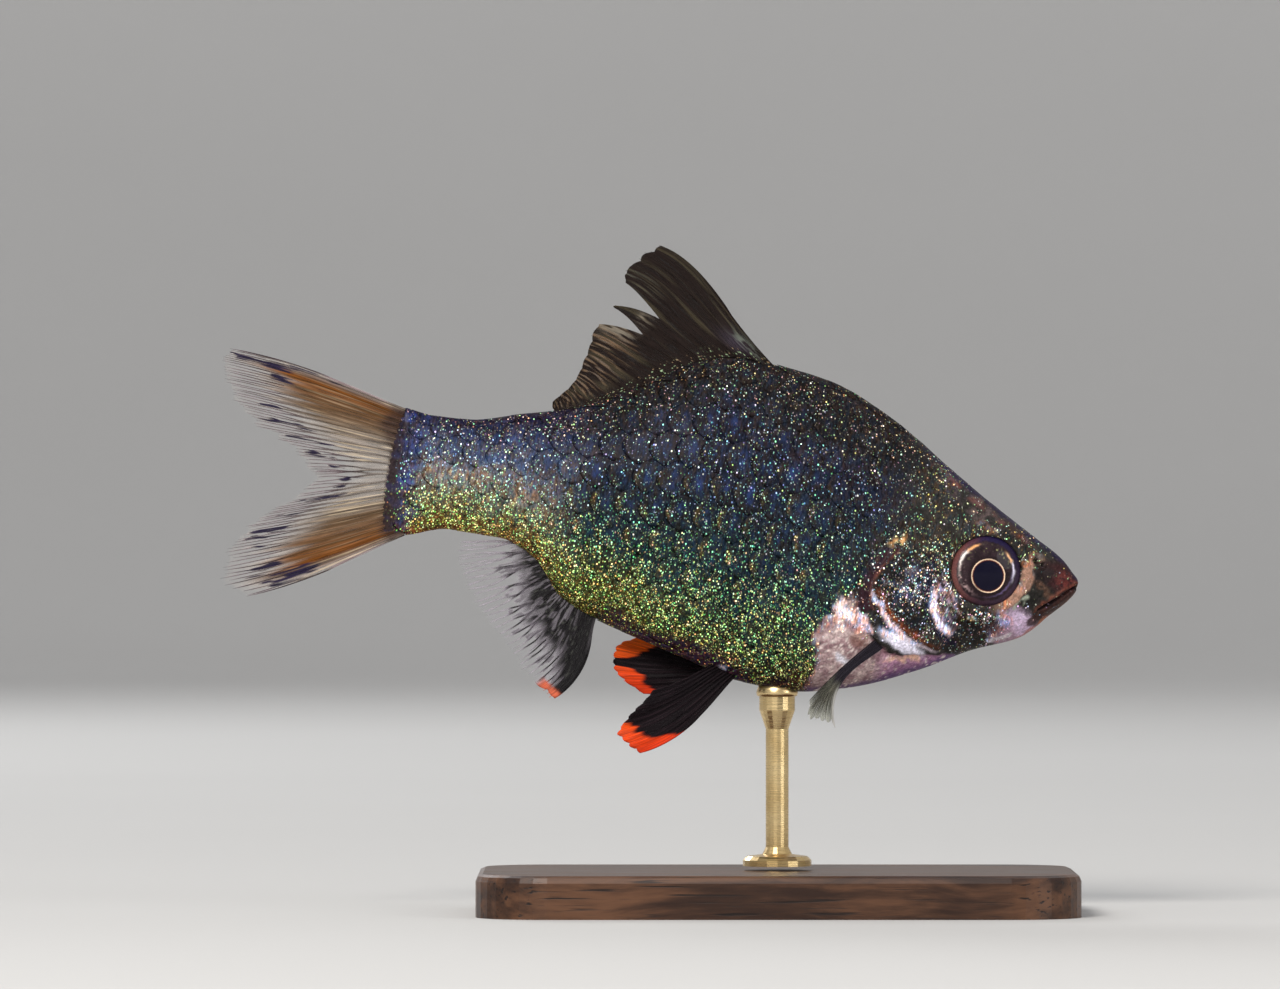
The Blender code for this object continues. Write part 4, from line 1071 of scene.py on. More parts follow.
def eye_paint(forward, up):
    """The iris's colours by the distance from its centre and by the turn round it, where 0 is forward, 90 up
    and 180 to the rear, and the brightness of the ring round the pupil."""
    r = np.hypot(forward, up)
    turn = np.degrees(np.arctan2(up, forward))
    turn = turn + 8 * mottle(forward, up, 0.5, 81)
    bent = lambda centre, half: np.exp(-((((turn - centre + 180) % 360 - 180) / half) ** 2))
    rn = r + 0.05 * mottle(forward * 2, up * 2, 0.35, 82)
    pupil = np.hypot(forward - (EYE[0] - PUPIL[0]), up - (PUPIL[1] - EYE[1]))
    speckle = mottle(forward, up, 0.12, 83)
    colour = np.zeros(r.shape + (3,)) + (0.020, 0.011, 0.014)
    colour = colour * (1 + 0.5 * mottle(forward, up, 0.3, 84))[..., None]
    outer = soft(rn, 2.00, 2.16)
    colour = lay_over(colour, outer * (0.45 + 0.55 * bent(90, 75)), (0.012, 0.008, 0.036))
    colour = lay_over(colour, 0.70 * outer * bent(205, 48), (0.20, 0.075, 0.060))
    colour = lay_over(colour, 0.55 * outer * bent(150, 28), (0.17, 0.055, 0.035))
    colour = lay_over(colour, 0.5 * outer * bent(-40, 50), (0.070, 0.040, 0.060))
    arc = hump(rn, 1.90, 0.085)
    colour = lay_over(colour, np.clip(1.3 * arc * bent(160, 26), 0, 1), (0.74, 0.66, 0.62))
    colour = lay_over(colour, np.clip(1.3 * arc * bent(130, 12), 0, 1), (0.80, 0.36, 0.13))
    colour = lay_over(colour, np.clip(1.3 * hump(rn, 1.93, 0.075) * bent(14, 15), 0, 1), (0.70, 0.66, 0.80))
    colour = lay_over(colour, np.clip(1.2 * hump(rn, 1.88, 0.075) * bent(38, 9), 0, 1), (0.80, 0.44, 0.22))
    mottled = hump(rn, 1.80, 0.15) * bent(212, 24) * soft(speckle, -0.25, 0.35)
    colour = lay_over(colour, np.clip(1.1 * mottled, 0, 1), (0.50, 0.34, 0.34))
    colour = lay_over(colour, 0.7 * hump(rn, 1.84, 0.06) * bent(-35, 34), (0.18, 0.13, 0.28))
    flecks = hump(rn, 1.60, 0.20) * bent(85, 55) * soft(speckle, 0.35, 0.75)
    colour = lay_over(colour, 0.6 * flecks, (0.46, 0.44, 0.20))
    colour = lay_over(colour, 0.85 * hump(pupil, 1.30, 0.14), (0.012, 0.006, 0.008))
    bright = 0.55 + 0.45 * bent(-40, 70) + 0.25 * bent(150, 40) - 0.40 * bent(-112, 14)
    return colour, np.stack([forward - (EYE[0] - PUPIL[0]), up - (PUPIL[1] - EYE[1]), bright], -1)


def make_eye(side, sign, material):
    """An eyeball on the orbit's plane: a half ellipsoid outside and another inside, in rings round its
    centre. Its radius follows the sine of the ring's angle and its bulge the cosine."""
    theta = np.linspace(0, math.pi, EYE_RINGS + 2)[1:-1]
    phi = np.linspace(0, TAU, EYE_SPOKES, endpoint=False)
    r = EYE_RADIUS * np.sin(theta)[:, None]
    forward, up = r * np.cos(phi), r * np.sin(phi)
    bulge = np.where(theta < math.pi / 2, 0.92, 0.8)[:, None] * np.cos(theta)[:, None] - 0.36
    s, h = EYE[0] - forward, EYE[1] + up
    y = sign * (eye_plane(s, h) + bulge)
    points = np.stack([-s, y, h], -1).reshape(-1, 3)
    poles = np.array([[-EYE[0], sign * (eye_plane(*EYE) + b), EYE[1]] for b in (0.92 - 0.36, -0.8 - 0.36)])
    points = np.concatenate([points, poles])
    spokes = np.arange(EYE_SPOKES)
    following = (spokes + 1) % EYE_SPOKES
    base = (EYE_RINGS - 1) * EYE_SPOKES
    front = np.stack([np.full_like(spokes, EYE_RINGS * EYE_SPOKES), following, spokes], -1)
    rear = np.stack([np.full_like(spokes, EYE_RINGS * EYE_SPOKES + 1), base + spokes, base + following], -1)
    faces = [grid_quads(EYE_RINGS, EYE_SPOKES, wrap=True), front, rear]
    if sign > 0:
        faces = [f[:, ::-1] for f in faces]
    forward, up = np.append(forward, (0, 0)), np.append(up, (0, 0))
    colour, lie = eye_paint(forward, up)
    name = "eye_" + side
    values = {"Ground": colour, "Lie": lie}
    return make_piece(name + "_ball", to_model(points), faces, material, values, stands_for=(name,))


def eye_material():
    """A wet, glassy ball: the painted iris, a thin gold ring and a black pupil under a clear coat."""
    shader = Shader("eye_ball", Coat_Weight=0.30, Coat_Roughness=0.03, Coat_IOR=1.34, Specular_IOR_Level=0.05)
    grain = shader.noise(shader.object_place(), 9000.0, 3.0)
    colour = shader.times(shader.attribute("Ground"), shader.soft(grain, 0.3, 0.7, 0.8, 1.2))
    forward, up, bright = shader.parts(shader.attribute("Lie"))
    squares = shader.math("ADD", shader.math("MULTIPLY", forward, forward), shader.math("MULTIPLY", up, up))
    away = shader.math("ADD", shader.math("SQRT", squares), shader.soft(grain, 0.2, 0.8, -0.015, 0.015))
    off_ring = shader.math("ABSOLUTE", shader.math("SUBTRACT", away, PUPIL_RADIUS + 0.09))
    ring = shader.soft(off_ring, 0.025, 0.060, 1.0, 0.0)
    colour = shader.mix(ring, colour, shader.times((0.92, 0.66, 0.46), bright))
    fringe = shader.soft(away, PUPIL_RADIUS + 0.02, PUPIL_RADIUS + 0.06, 1.0, 0.0)
    colour = shader.mix(fringe, colour, (0.11, 0.020, 0.010, 1))
    hole = shader.soft(away, PUPIL_RADIUS - 0.02, PUPIL_RADIUS + 0.01, 1.0, 0.0)
    colour = shader.mix(hole, colour, (0.0035, 0.003, 0.012, 1))
    return shader.drive(Base_Color=colour, Roughness=shader.soft(grain, 0.2, 0.8, 0.40, 0.52))


# Fins, as in the part, except that the tail fin's root lies deeper in the flesh. Shares run from the
# leading ray to the last.
DORSAL = {
    "margin": (
        (0.00, 32.7, 18.6),
        (0.12, 34.1, 17.5),
        (0.25, 35.2, 15.8),
        (0.35, 35.3, 13.9),
        (0.45, 36.2, 12.4),
        (0.62, 36.6, 10.2),
        (0.80, 37.1, 8.2),
        (1.00, 38.3, 6.6),
    ),
    "bow": 0.62,
    "peak": 0.74,
}
ANAL = {
    "margin": (
        (0.00, 35.1, -14.2),
        (0.12, 36.1, -13.4),
        (0.30, 37.8, -11.7),
        (0.48, 39.8, -9.8),
        (0.65, 41.7, -8.0),
        (0.80, 42.8, -6.3),
        (0.92, 43.3, -5.1),
        (1.00, 43.2, -4.2),
    ),
    "bow": -0.85,
    "peak": 0.58,
}
CAUDAL_ROOT = ((0.0, 48.40, 4.40), (0.5, 48.35, -0.1), (1.0, 47.00, -4.40))
CAUDAL_MARGIN = (
    (0.00, 61.2, 6.5),
    (0.06, 61.7, 5.8),
    (0.15, 61.3, 4.5),
    (0.25, 60.4, 3.1),
    (0.35, 58.6, 1.5),
    (0.42, 56.4, 0.4),
    (0.48, 54.7, -0.7),
    (0.52, 54.3, -1.5),
    (0.58, 55.2, -3.0),
    (0.66, 57.1, -4.6),
    (0.76, 58.4, -6.2),
    (0.86, 59.0, -8.0),
    (0.94, 58.9, -9.6),
    (1.00, 57.2, -10.4),
)
CAUDAL_BOW = 0.4
PELVIC_RIGHT = {
    "root": ((0.0, 22.6, -1.3, -10.3), (1.0, 24.3, -1.9, -9.7)),
    "margin": (
        (0.00, 28.4, -3.2, -16.7),
        (0.20, 29.4, -3.3, -16.2),
        (0.42, 30.1, -3.3, -15.4),
        (0.58, 29.7, -3.3, -14.4),
        (0.75, 29.0, -3.2, -13.5),
        (1.00, 28.2, -3.0, -12.2),
    ),
    "bows": (-0.75, -0.2),
    "spread": 0.0,
}
PELVIC_LEFT = {
    "root": ((0.0, 22.6, 1.3, -10.3), (1.0, 24.3, 1.9, -9.7)),
    "margin": (
        (0.00, 28.7, 2.3, -12.6),
        (0.15, 30.1, 2.4, -12.0),
        (0.35, 31.0, 2.5, -11.3),
        (0.60, 31.4, 2.6, -10.3),
        (0.80, 31.0, 2.8, -9.4),
        (1.00, 30.0, 3.2, -8.8),
    ),
    "bows": (-0.25, 0.0),
    "spread": 0.0,
}
PECTORAL_RIGHT = {
    "root": ((0.0, 12.65, -3.3, -6.35), (1.0, 13.2, -3.5, -5.9)),
    "margin": (
        (0.00, 15.1, -7.7, -12.8),
        (0.12, 15.5, -8.0, -12.4),
        (0.50, 16.6, -8.8, -12.4),
        (0.75, 17.2, -9.1, -12.1),
        (1.00, 17.45, -9.2, -11.2),
    ),
    "bows": (1.35, 0.15),
    "spread": 0.4,
}
PECTORAL_LEFT = {
    "root": ((0.0, 12.65, 3.3, -6.55), (1.0, 13.2, 3.7, -5.7)),
    "margin": (
        (0.00, 18.9, 8.9, -9.9),
        (0.25, 19.8, 9.2, -9.3),
        (0.50, 20.3, 9.3, -8.5),
        (0.75, 20.2, 9.2, -7.6),
        (1.00, 19.6, 8.9, -6.9),
    ),
    "bows": (0.3, 0.0),
    "spread": -0.6,
}
ROOT_DEPTH = 0.5


def points_of(rows, share):
    """Points read along a table whose rows are share, s, h or share, s, y, h."""
    values = [smooth_through(rows, column, share) for column in range(1, len(rows[0]))]
    y = values[1] if len(values) == 3 else 0 * share
    return np.stack([-values[0], y, values[-1]], -1)


def square_to(ray):
    """Unit vectors square to the rays in side view."""
    square = np.stack([-ray[..., 2], 0 * ray[..., 0], ray[..., 0]], -1)
    return square / np.linalg.norm(square, axis=-1, keepdims=True)


def arched(root, tip, bow, reach, peak=0.58):
    """A point at a share of each ray: on the straight from root to tip, lifted by the bow, most at its peak."""
    reach = reach[..., None]
    power = peak / (1 - peak)
    arch = np.abs(reach) ** power * (1 - reach) / (peak**power * (1 - peak))
    return root * (1 - reach) + tip * reach + bow * arch


def middle_fin(fin, base, column, side):
    """The sheet of a dorsal or anal fin as a function of share and reach."""

    def sheet(share, reach):
        s = base[0] + (base[1] - base[0]) * share
        root = np.stack([-s, 0 * s, along(OUTLINE, column, s) - ROOT_DEPTH * side], -1)
        tip = points_of(fin["margin"], share)
        bow = square_to(tip - root) * (-fin["bow"] * (1 - np.clip(share, 0, 1)) ** 1.5)[..., None]
        place = arched(root, tip, bow, reach, fin["peak"])
        place[..., 1] += 0.16 * reach**1.5 * np.sin(9 * share + 2.2 * reach)
        return place

    return sheet


def caudal_fin(share, reach):
    """The sheet of the tail fin: its rays lift off the straight only in the outer third of either lobe."""
    root, tip = points_of(CAUDAL_ROOT, share), points_of(CAUDAL_MARGIN, share)
    lift = np.clip(1 - share / 0.3, 0, 1) - np.clip(1 - (1 - share) / 0.3, 0, 1)
    bow = np.stack([0 * share, 0 * share, CAUDAL_BOW * lift], -1)
    place = arched(root, tip, bow, reach)
    place[..., 1] += 0.18 * reach**1.6 * np.sin(11 * share + 1.5 * reach)
    return place


def paired_fin(fin):
    """The sheet of a pelvic or pectoral fin."""

    def sheet(share, reach):
        root, tip = points_of(fin["root"], share), points_of(fin["margin"], share)
        front, rear = fin["bows"]
        bow = square_to(tip - root) * -(front * (1 - share) + rear * share)[..., None]
        bow[..., 1] -= fin["spread"] * (0.5 - share)
        place = arched(root, tip, bow, reach)
        place[..., 1] += 0.06 * reach**1.4 * np.sin(13 * share + 2 * reach)
        return place

    return sheet


def ray_phase(share, rays):
    """How far a share lies from the nearest ray, from 0 on it to 1 midway between two."""
    return np.clip(np.abs(share[..., None] - rays).min(-1) / (0.5 * np.diff(rays).mean()), 0, 1)


def make_web(name, sheet, margin, rays, paint, grid, span, thickness, material, node):
    """A fin's membrane: a thin closed sheet over share and reach, swollen along its rays. The margin says
    how much of each ray is left, and the paint gives colour and cover from share, reach and ray phase."""
    columns, rows = grid
    share = np.linspace(*span, columns)[:, None] + np.zeros((1, rows))
    reach = np.linspace(0, 1, rows)[None, :] * margin(share)
    middle = sheet(share, reach)
    normal = np.cross(np.gradient(middle, axis=0), np.gradient(middle, axis=1))
    normal /= np.linalg.norm(normal, axis=-1, keepdims=True) + 1e-12
    phase = ray_phase(share, rays)
    root, edge = thickness
    half = 0.5 * (edge + (root - edge) * (1 - np.clip(reach, 0, 1)) ** 2)
    half = half * (0.75 + 0.45 * (1 - phase) ** 2)
    half[:, -1] *= 0.35
    over = (middle + normal * half[..., None]).reshape(-1, 3)
    under = (middle - normal * half[..., None]).reshape(-1, 3)
    points = np.concatenate([over, under])
    front = grid_quads(columns, rows)
    count = columns * rows
    index = np.arange(count).reshape(columns, rows)
    rim = np.concatenate([index[0], index[1:, -1], index[-1, -2::-1], index[-2:0:-1, 0]])
    following = np.roll(rim, -1)
    wall = np.stack([rim, following, count + following, count + rim], -1)
    colour, cover = paint(share, reach, phase, False)
    values = {"Ground": np.concatenate([colour.reshape(-1, 3)] * 2), "Cover": np.concatenate([cover.ravel()] * 2)}
    values["Lie"] = np.concatenate([np.stack([share, reach, phase], -1).reshape(-1, 3)] * 2)
    faces = [front, (count + front)[:, ::-1], wall[:, ::-1]]
    web = make_piece(name, to_model(points), faces, material, values, stands_for=(node,))
    return turn_out(web)


def turn_out(obj):
    """Faces turned so that the closed mesh has a positive volume."""
    mesh = obj.data
    co = np.empty(len(mesh.vertices) * 3, np.float32)
    mesh.vertices.foreach_get("co", co)
    mesh.calc_loop_triangles()
    triangles = np.empty(len(mesh.loop_triangles) * 3, np.int32)
    mesh.loop_triangles.foreach_get("vertices", triangles)
    corner = co.reshape(-1, 3).astype(float)[triangles.reshape(-1, 3)]
    volume = np.einsum("ij,ij->i", corner[:, 0], np.cross(corner[:, 1], corner[:, 2])).sum()
    if volume < 0:
        mesh.flip_normals()
    return obj


RAY_SIDES = 6
RAY_STEPS = 30


def make_rays(name, sheet, margin, rays, paint, width, splits, material, seed, past):
    """The fin's rays as tapering tubes on its sheet. A ray is a bundle of branches that run together and part
    at each split, so its shares follow an S curve from the ray's own to each branch's own."""
    rng = np.random.default_rng(seed)
    spacing = np.diff(rays).mean()
    sides = np.array([[a, b] for a in (-1, 1) for b in (-1, 1)])
    reach = np.linspace(0, 1, RAY_STEPS)
    first = soft(reach, splits[0], splits[0] + 0.35)
    second = soft(reach, splits[1], splits[1] + 0.3)
    fan = sides[:, :1] * 0.25 * first + sides[:, 1:] * 0.125 * second
    hold = 0.05 * spacing * np.sin(7 * reach[None, :] + rng.uniform(0, TAU, (len(rays) * 4, 1))) * reach[None, :]
    share = (rays[:, None, None] + spacing * fan[None]).reshape(-1, RAY_STEPS) + hold
    share = np.clip(share, rays[0] - 0.3 * spacing, rays[-1] + 0.3 * spacing)
    length = margin(share[:, -1]) * (1 + past * rng.uniform(-0.6, 1.0, len(share)))
    run = reach[None, :] * length[:, None]
    path = sheet(share, run)
    tangent = np.gradient(path, axis=1)
    tangent /= np.linalg.norm(tangent, axis=-1, keepdims=True) + 1e-12
    sideways = np.cross(tangent, np.array([0.0, 1.0, 0.0]))
    sideways /= np.linalg.norm(sideways, axis=-1, keepdims=True) + 1e-12
    other = np.cross(tangent, sideways)
    root, edge = width
    radius = edge + (root - edge) * (1 - reach) ** 1.3
    radius = radius * (1 - 0.75 * soft(reach, 0.93, 1.0))
    turn = np.linspace(0, TAU, RAY_SIDES, endpoint=False)
    ring = sideways[:, :, None] * np.cos(turn)[:, None] + 1.35 * other[:, :, None] * np.sin(turn)[:, None]
    points = path[:, :, None] + ring * radius[None, :, None, None]
    count = len(share)
    ends = np.stack([path[:, 0], path[:, -1]], 1)
    per = RAY_STEPS * RAY_SIDES
    points = np.concatenate([points.reshape(count, per, 3), ends], 1).reshape(-1, 3)
    quads = grid_quads(RAY_STEPS, RAY_SIDES, wrap=True)
    k = np.arange(RAY_SIDES)
    n = (k + 1) % RAY_SIDES
    low = np.stack([np.full_like(k, per), n, k], -1)
    high = np.stack([np.full_like(k, per + 1), per - RAY_SIDES + k, per - RAY_SIDES + n], -1)
    base = (np.arange(count) * (per + 2))[:, None, None]
    faces = [(f[None] + base).reshape(-1, f.shape[1]) for f in (quads, low, high)]
    colour, cover = paint(share, run, 0 * share, True)
    widen = lambda v: np.repeat(v, RAY_SIDES, axis=1)
    close = lambda v: np.concatenate([widen(v), v[:, :1], v[:, -1:]], 1)
    values = {"Ground": close(colour).reshape(-1, 3), "Cover": close(cover).ravel()}
    values["Lie"] = np.stack([close(share), close(run), close(0 * share)], -1).reshape(-1, 3)
    return turn_out(make_piece(name, to_model(points), faces, material, values))


def fin_material(name, roughness, joints):
    """Membrane and rays: painted colour and cover, the rays' fine joints as bump, and a moist coat."""
    shader = Shader(name, Coat_Weight=0.01, Coat_Roughness=0.25, Specular_IOR_Level=0.03)
    lie = shader.attribute("Lie")
    across = shader.stretched(lie, (140.0, 5.0, 1.0))
    streak = shader.noise(across, 1.0, 3.0, 0.6)
    cover = shader.attribute("Cover", "Fac")
    uneven = shader.math("MULTIPLY", cover, shader.soft(streak, 0.25, 0.75, 0.78, 1.16))
    colour = shader.times(shader.attribute("Ground"), shader.soft(streak, 0.25, 0.75, 0.70, 1.35))
    bands = shader.add(
        "TexWave", {"Vector": lie, "Scale": joints, "Distortion": 0.4}, wave_type="BANDS", bands_direction="Y"
    )
    return shader.drive(
        Base_Color=colour,
        Alpha=shader.math("MINIMUM", uneven, 1.0),
        Roughness=roughness,
        Normal=shader.bump(bands, 0.00002, 0.35),
    )


def plain_margin(depth, rays, seed, wobble):
    """How much of each ray is left: a little less between the rays than on them, each ray its own length."""
    lengths = np.random.default_rng(seed).uniform(-wobble, wobble, len(rays) + 2)
    knots = np.concatenate([[rays[0] - 0.1], rays, [rays[-1] + 0.1]])
    return lambda share: 1 - depth * ray_phase(share, rays) ** 2 - wobble + np.interp(share, knots, lengths)


def frayed_margin(rays, seed):
    """The tail fin's margin, cut deeper between the rays towards the fork, with small nicks."""
    plain = plain_margin(0.012, rays, seed, 0.01)

    def margin(share):
        fray = soft(1 - np.abs(share - 0.5) * 2, 0.25, 0.9)
        nicks = soft(mottle(share * 46, share * 0, 1.0, seed + 5), 0.0, 0.9)
        return plain(share) - fray * (0.05 * ray_phase(share, rays) + 0.07 * nicks)

    return margin


def dorsal_margin(rays):
    """The dorsal fin's margin with its two torn notches, on either side of a lone spike."""
    plain = plain_margin(0.02, rays, 91, 0.012)

    def margin(share):
        left = plain(share)
        for centre, depth, half in ((0.303, 0.42, 0.048), (0.402, 0.42, 0.046)):
            cut = np.clip(1 - np.abs(share - centre) / half, 0, 1)
            left = np.minimum(left, 1 - depth * cut)
        # The corner in front of the first tear is worn round
        return left - 0.05 * hump(share, 0.252, 0.022)

    return margin


def dorsal_paint(share, reach, phase, ray):
    """Brown-black, thinner and tan between the rear rays, with glints on its scaly base."""
    colour = np.zeros(share.shape + (3,)) + (0.012, 0.008, 0.007)
    # Olive streaks out along the rays: a painted sheen
    streaky = soft(mottle(share * 75, reach * 2.5, 1.0, 101), 0.1, 0.8) * soft(reach, 0.1, 0.4)
    colour = lay_over(colour, 0.5 * streaky, (0.060, 0.050, 0.030))
    cover = np.full(share.shape, 0.995)
    if not ray:
        branch = -np.cos(TAU * ((share - 0.01) * 36.9 + 0.50 * mottle(share * 30, reach * 3, 1.0, 107)))
        gaps = soft(branch + 0.6 * mottle(share * 60, reach * 5, 1.0, 108), -0.1, 0.9)
        window = soft(share, 0.36, 0.52) * soft(reach + 0.3 * share, 0.50, 0.85) * gaps
        broken = soft(mottle(share * 110, reach * 6, 1.0, 102), -0.6, 0.3)
        colour = lay_over(colour, 0.80 * window * broken, (0.150, 0.095, 0.055))
        tip = hump(share, 0.22, 0.035) * soft(reach, 0.60, 0.85) * gaps * broken
        colour = lay_over(colour, 0.40 * tip, (0.16, 0.15, 0.10))
        torn = hump(share, 0.435, 0.030) * soft(reach, 0.55, 0.72)
        torn = torn + hump(share, 0.345, 0.02) * hump(reach, 0.68, 0.06)
        torn = torn * soft(mottle(share * 140, reach * 9, 1.0, 103), -0.4, 0.3)
        colour = lay_over(colour, np.clip(torn, 0, 0.7), (0.21, 0.18, 0.14))
        cover = cover - 0.30 * window * broken - 0.15 * tip
    colour = lay_over(colour, 0.45 * hump(share, 0.10, 0.05) * hump(reach, 0.20, 0.10), (0.060, 0.048, 0.070))
    shine = hump(share, 0.05, 0.030) * hump(reach, 0.20, 0.10)
    shine = shine * soft(mottle(share * 90, reach * 20, 1.0, 104), -0.4, 0.5)
    colour = lay_over(colour, 0.5 * shine, (0.20, 0.23, 0.19))
    sheath = np.interp(share, (0, 0.15, 0.5, 1.0), (0.10, 0.16, 0.20, 0.30))
    glints = soft(mottle(share * 150, reach * 120, 1.0, 105), 0.68, 0.85)
    glints = glints * (1 - soft(reach, sheath - 0.03, sheath + 0.02))
    hue = soft(mottle(share * 60, reach * 30, 1.0, 106), -0.3, 0.3)[..., None]
    glitter = hue * np.array((0.30, 0.42, 0.24)) + (1 - hue) * np.array((0.40, 0.27, 0.16))
    colour = colour * (1 - glints[..., None]) + glitter * glints[..., None]
    return colour, cover


def anal_paint(share, reach, phase, ray):
    """Black front rays with an orange tip, then rays whose black fades outwards into clear, pale ends."""
    far = (1.1, 1.0, 0.92, 0.84, 0.70, 0.55, 0.40, 0.28, 0.15)
    dark_reach = np.interp(share, (0.0, 0.12, 0.2, 0.35, 0.5, 0.65, 0.8, 0.92, 1.0), far)
    dark_reach = dark_reach + 0.13 * mottle(share * 34, share * 0, 1.0, 111)
    colour = np.zeros(share.shape + (3,)) + (0.36, 0.32, 0.37)
    if ray:
        dark = 1 - soft(reach, dark_reach - 0.06, dark_reach + 0.08)
        clear = 0.34
    else:
        inner = np.interp(share, (0.0, 0.2, 0.5, 0.8, 1.0), (0.80, 0.72, 0.70, 0.52, 0.35)) * dark_reach
        dark = 1 - soft(reach, inner - 0.14, inner + 0.16)
        dark = np.maximum(dark, 1 - soft(share, 0.05, 0.11))
        flecks = soft(mottle(share * 90, reach * 10, 1.0, 112), 0.0, 0.40) * (reach < dark_reach)
        dark = np.maximum(dark * (1 - 0.30 * flecks * soft(share, 0.1, 0.3)), 0.60 * flecks)
        clear = 0.035
    colour = lay_over(colour, dark, (0.012, 0.011, 0.012))
    dusty = soft(mottle(share * 120, reach * 34, 1.0, 113), 0.25, 0.80) * dark * soft(share, 0.02, 0.06)
    colour = lay_over(colour, 0.55 * dusty, (0.062, 0.064, 0.056))
    lead = (1 - soft(share, 0.0, 0.035)) * (1 - soft(reach, 0.25, 0.45))
    colour = lay_over(colour, 0.45 * lead, (0.12, 0.11, 0.12))
    tip = soft(reach, 0.86, 0.90) * (1 - soft(share, 0.12, 0.17))
    colour = lay_over(colour, tip, (0.52, 0.115, 0.060))
    return colour, clear + (0.97 - clear) * np.maximum(dark, tip * 0.85)


# Dark marks of the tail fin: lobe (1 upper, 2 lower), place between its edge and the fork, reach, half sizes
TAIL_MARKS = (
    (1, 0.055, 0.90, 0.030, 0.075),
    (1, 0.075, 0.72, 0.042, 0.060),
    (1, 0.040, 0.54, 0.018, 0.130),
    (1, 0.200, 0.67, 0.035, 0.040),
    (1, 0.500, 0.80, 0.016, 0.050),
    (1, 0.620, 0.76, 0.018, 0.090),
    (1, 0.640, 0.60, 0.016, 0.050),
    (1, 0.750, 0.72, 0.016, 0.060),
    (1, 0.760, 0.55, 0.014, 0.040),
    (1, 0.880, 0.77, 0.024, 0.060),
    (1, 0.900, 0.58, 0.020, 0.045),
    (1, 0.970, 0.66, 0.020, 0.050),
    (2, 0.930, 0.55, 0.020, 0.060),
    (2, 0.870, 0.56, 0.014, 0.050),
    (2, 0.780, 0.62, 0.028, 0.120),
    (2, 0.620, 0.76, 0.016, 0.080),
    (2, 0.470, 0.80, 0.022, 0.080),
    (2, 0.420, 0.86, 0.014, 0.060),
    (2, 0.340, 0.84, 0.015, 0.060),
    (2, 0.070, 0.69, 0.044, 0.115),
    (2, 0.170, 0.78, 0.022, 0.080),
)
# The tail fin's amber, from the edge of a lobe to the fork
AMBER = (
    (0.0, 0.07, 0.03, 0.018),
    (0.12, 0.135, 0.044, 0.007),
    (0.5, 0.088, 0.046, 0.011),
    (1.0, 0.09, 0.06, 0.03),
)


def caudal_paint(share, reach, phase, ray):
    """Amber near the edge of either lobe, clear at the margin and in the fork, with dark marks on the rays."""
    lobe = np.where(share < 0.5, 1, 2)
    inward = np.where(share < 0.5, share, 1 - share) / 0.5
    far = np.interp(inward, (0.0, 0.1, 0.3, 0.6, 1.0), (0.88, 0.86, 0.74, 0.62, 0.52))
    far = far + 0.09 * mottle(share * 70, share * 0, 1.0, 121)
    depth = 1 - soft(reach, far - 0.26, far + 0.10)
    strong = np.interp(inward, (0.0, 0.04, 0.10, 0.45, 0.7, 1.0), (0.1, 0.6, 1.0, 0.85, 0.40, 0.22))
    amber = depth * strong
    streaky = soft(mottle(share * 150, reach * 2.5, 1.0, 122), -0.5, 0.3)
    if ray:
        deep = 1 - soft(reach, far - 0.08, far + 0.18)
        colour = np.zeros(share.shape + (3,)) + (0.150, 0.100, 0.115)
        colour = lay_over(colour, deep, (0.026, 0.013, 0.018))
        cover = 0.50 + 0.45 * deep
    else:
        colour = np.zeros(share.shape + (3,)) + (0.46, 0.41, 0.37)
        colour = colour * (1 - amber[..., None]) + stops(inward, AMBER) * amber[..., None]
        colour = lay_over(colour, 0.70 * streaky * amber, (0.052, 0.026, 0.009))
        # Cream streaks on the web between the rays: painted highlights
        cream_highlight = soft(mottle(share * 210, reach * 3, 1.0, 126), 0.25, 0.60) * soft(depth - 0.75 * strong, 0.1, 0.6)
        colour = lay_over(colour, 0.5 * cream_highlight, (0.60, 0.48, 0.32))
        cover = 0.05 + 0.80 * amber + 0.12 * streaky * amber + 0.14 * depth + 0.20 * cream_highlight
    marks = np.zeros_like(share)
    wavy = inward + 0.012 * mottle(reach * 9, share * 0, 1.0, 124)
    for which, place, where, half, tall in TAIL_MARKS:
        mark = hump(wavy, place, half) * hump(reach, where, 1.5 * tall)
        marks = np.maximum(marks, mark * (lobe == which))
    ragged = 0.85 * mottle(share * 190, reach * 11, 1.0, 123) + 0.30 * (1 - phase) - 0.10
    marks = soft(marks + ragged * soft(marks, 0.05, 0.3), 0.34, 0.84)
    colour = lay_over(colour, marks, (0.017, 0.013, 0.032))
    across = (0.0, 0.06, 0.14, 0.22, 0.3, 0.7, 0.84, 0.9, 1.0)
    blotch = np.interp(share, across, (0.05, 0.06, 0.12, 0.10, 0.05, 0.05, 0.09, 0.13, 0.09))
    root = 1 - soft(reach, blotch - 0.03, blotch + 0.05 + 0.04 * mottle(share * 40, share * 0, 1.0, 125))
    smoke = 0.80 + 0.18 * mottle(share * 70, reach * 26, 1.0, 127)
    colour = lay_over(colour, smoke * root, (0.036, 0.021, 0.018))
    cover = np.maximum(np.maximum(cover, 0.95 * marks), 0.96 * root)
    pale_edge = (1 - soft(inward, 0.01, 0.035)) * (1 - soft(reach, 0.40, 0.5)) * soft(reach, 0.08, 0.14)
    colour = lay_over(colour, 0.8 * pale_edge, (0.36, 0.27, 0.28))
    return colour, np.clip(cover, 0.03, 1)


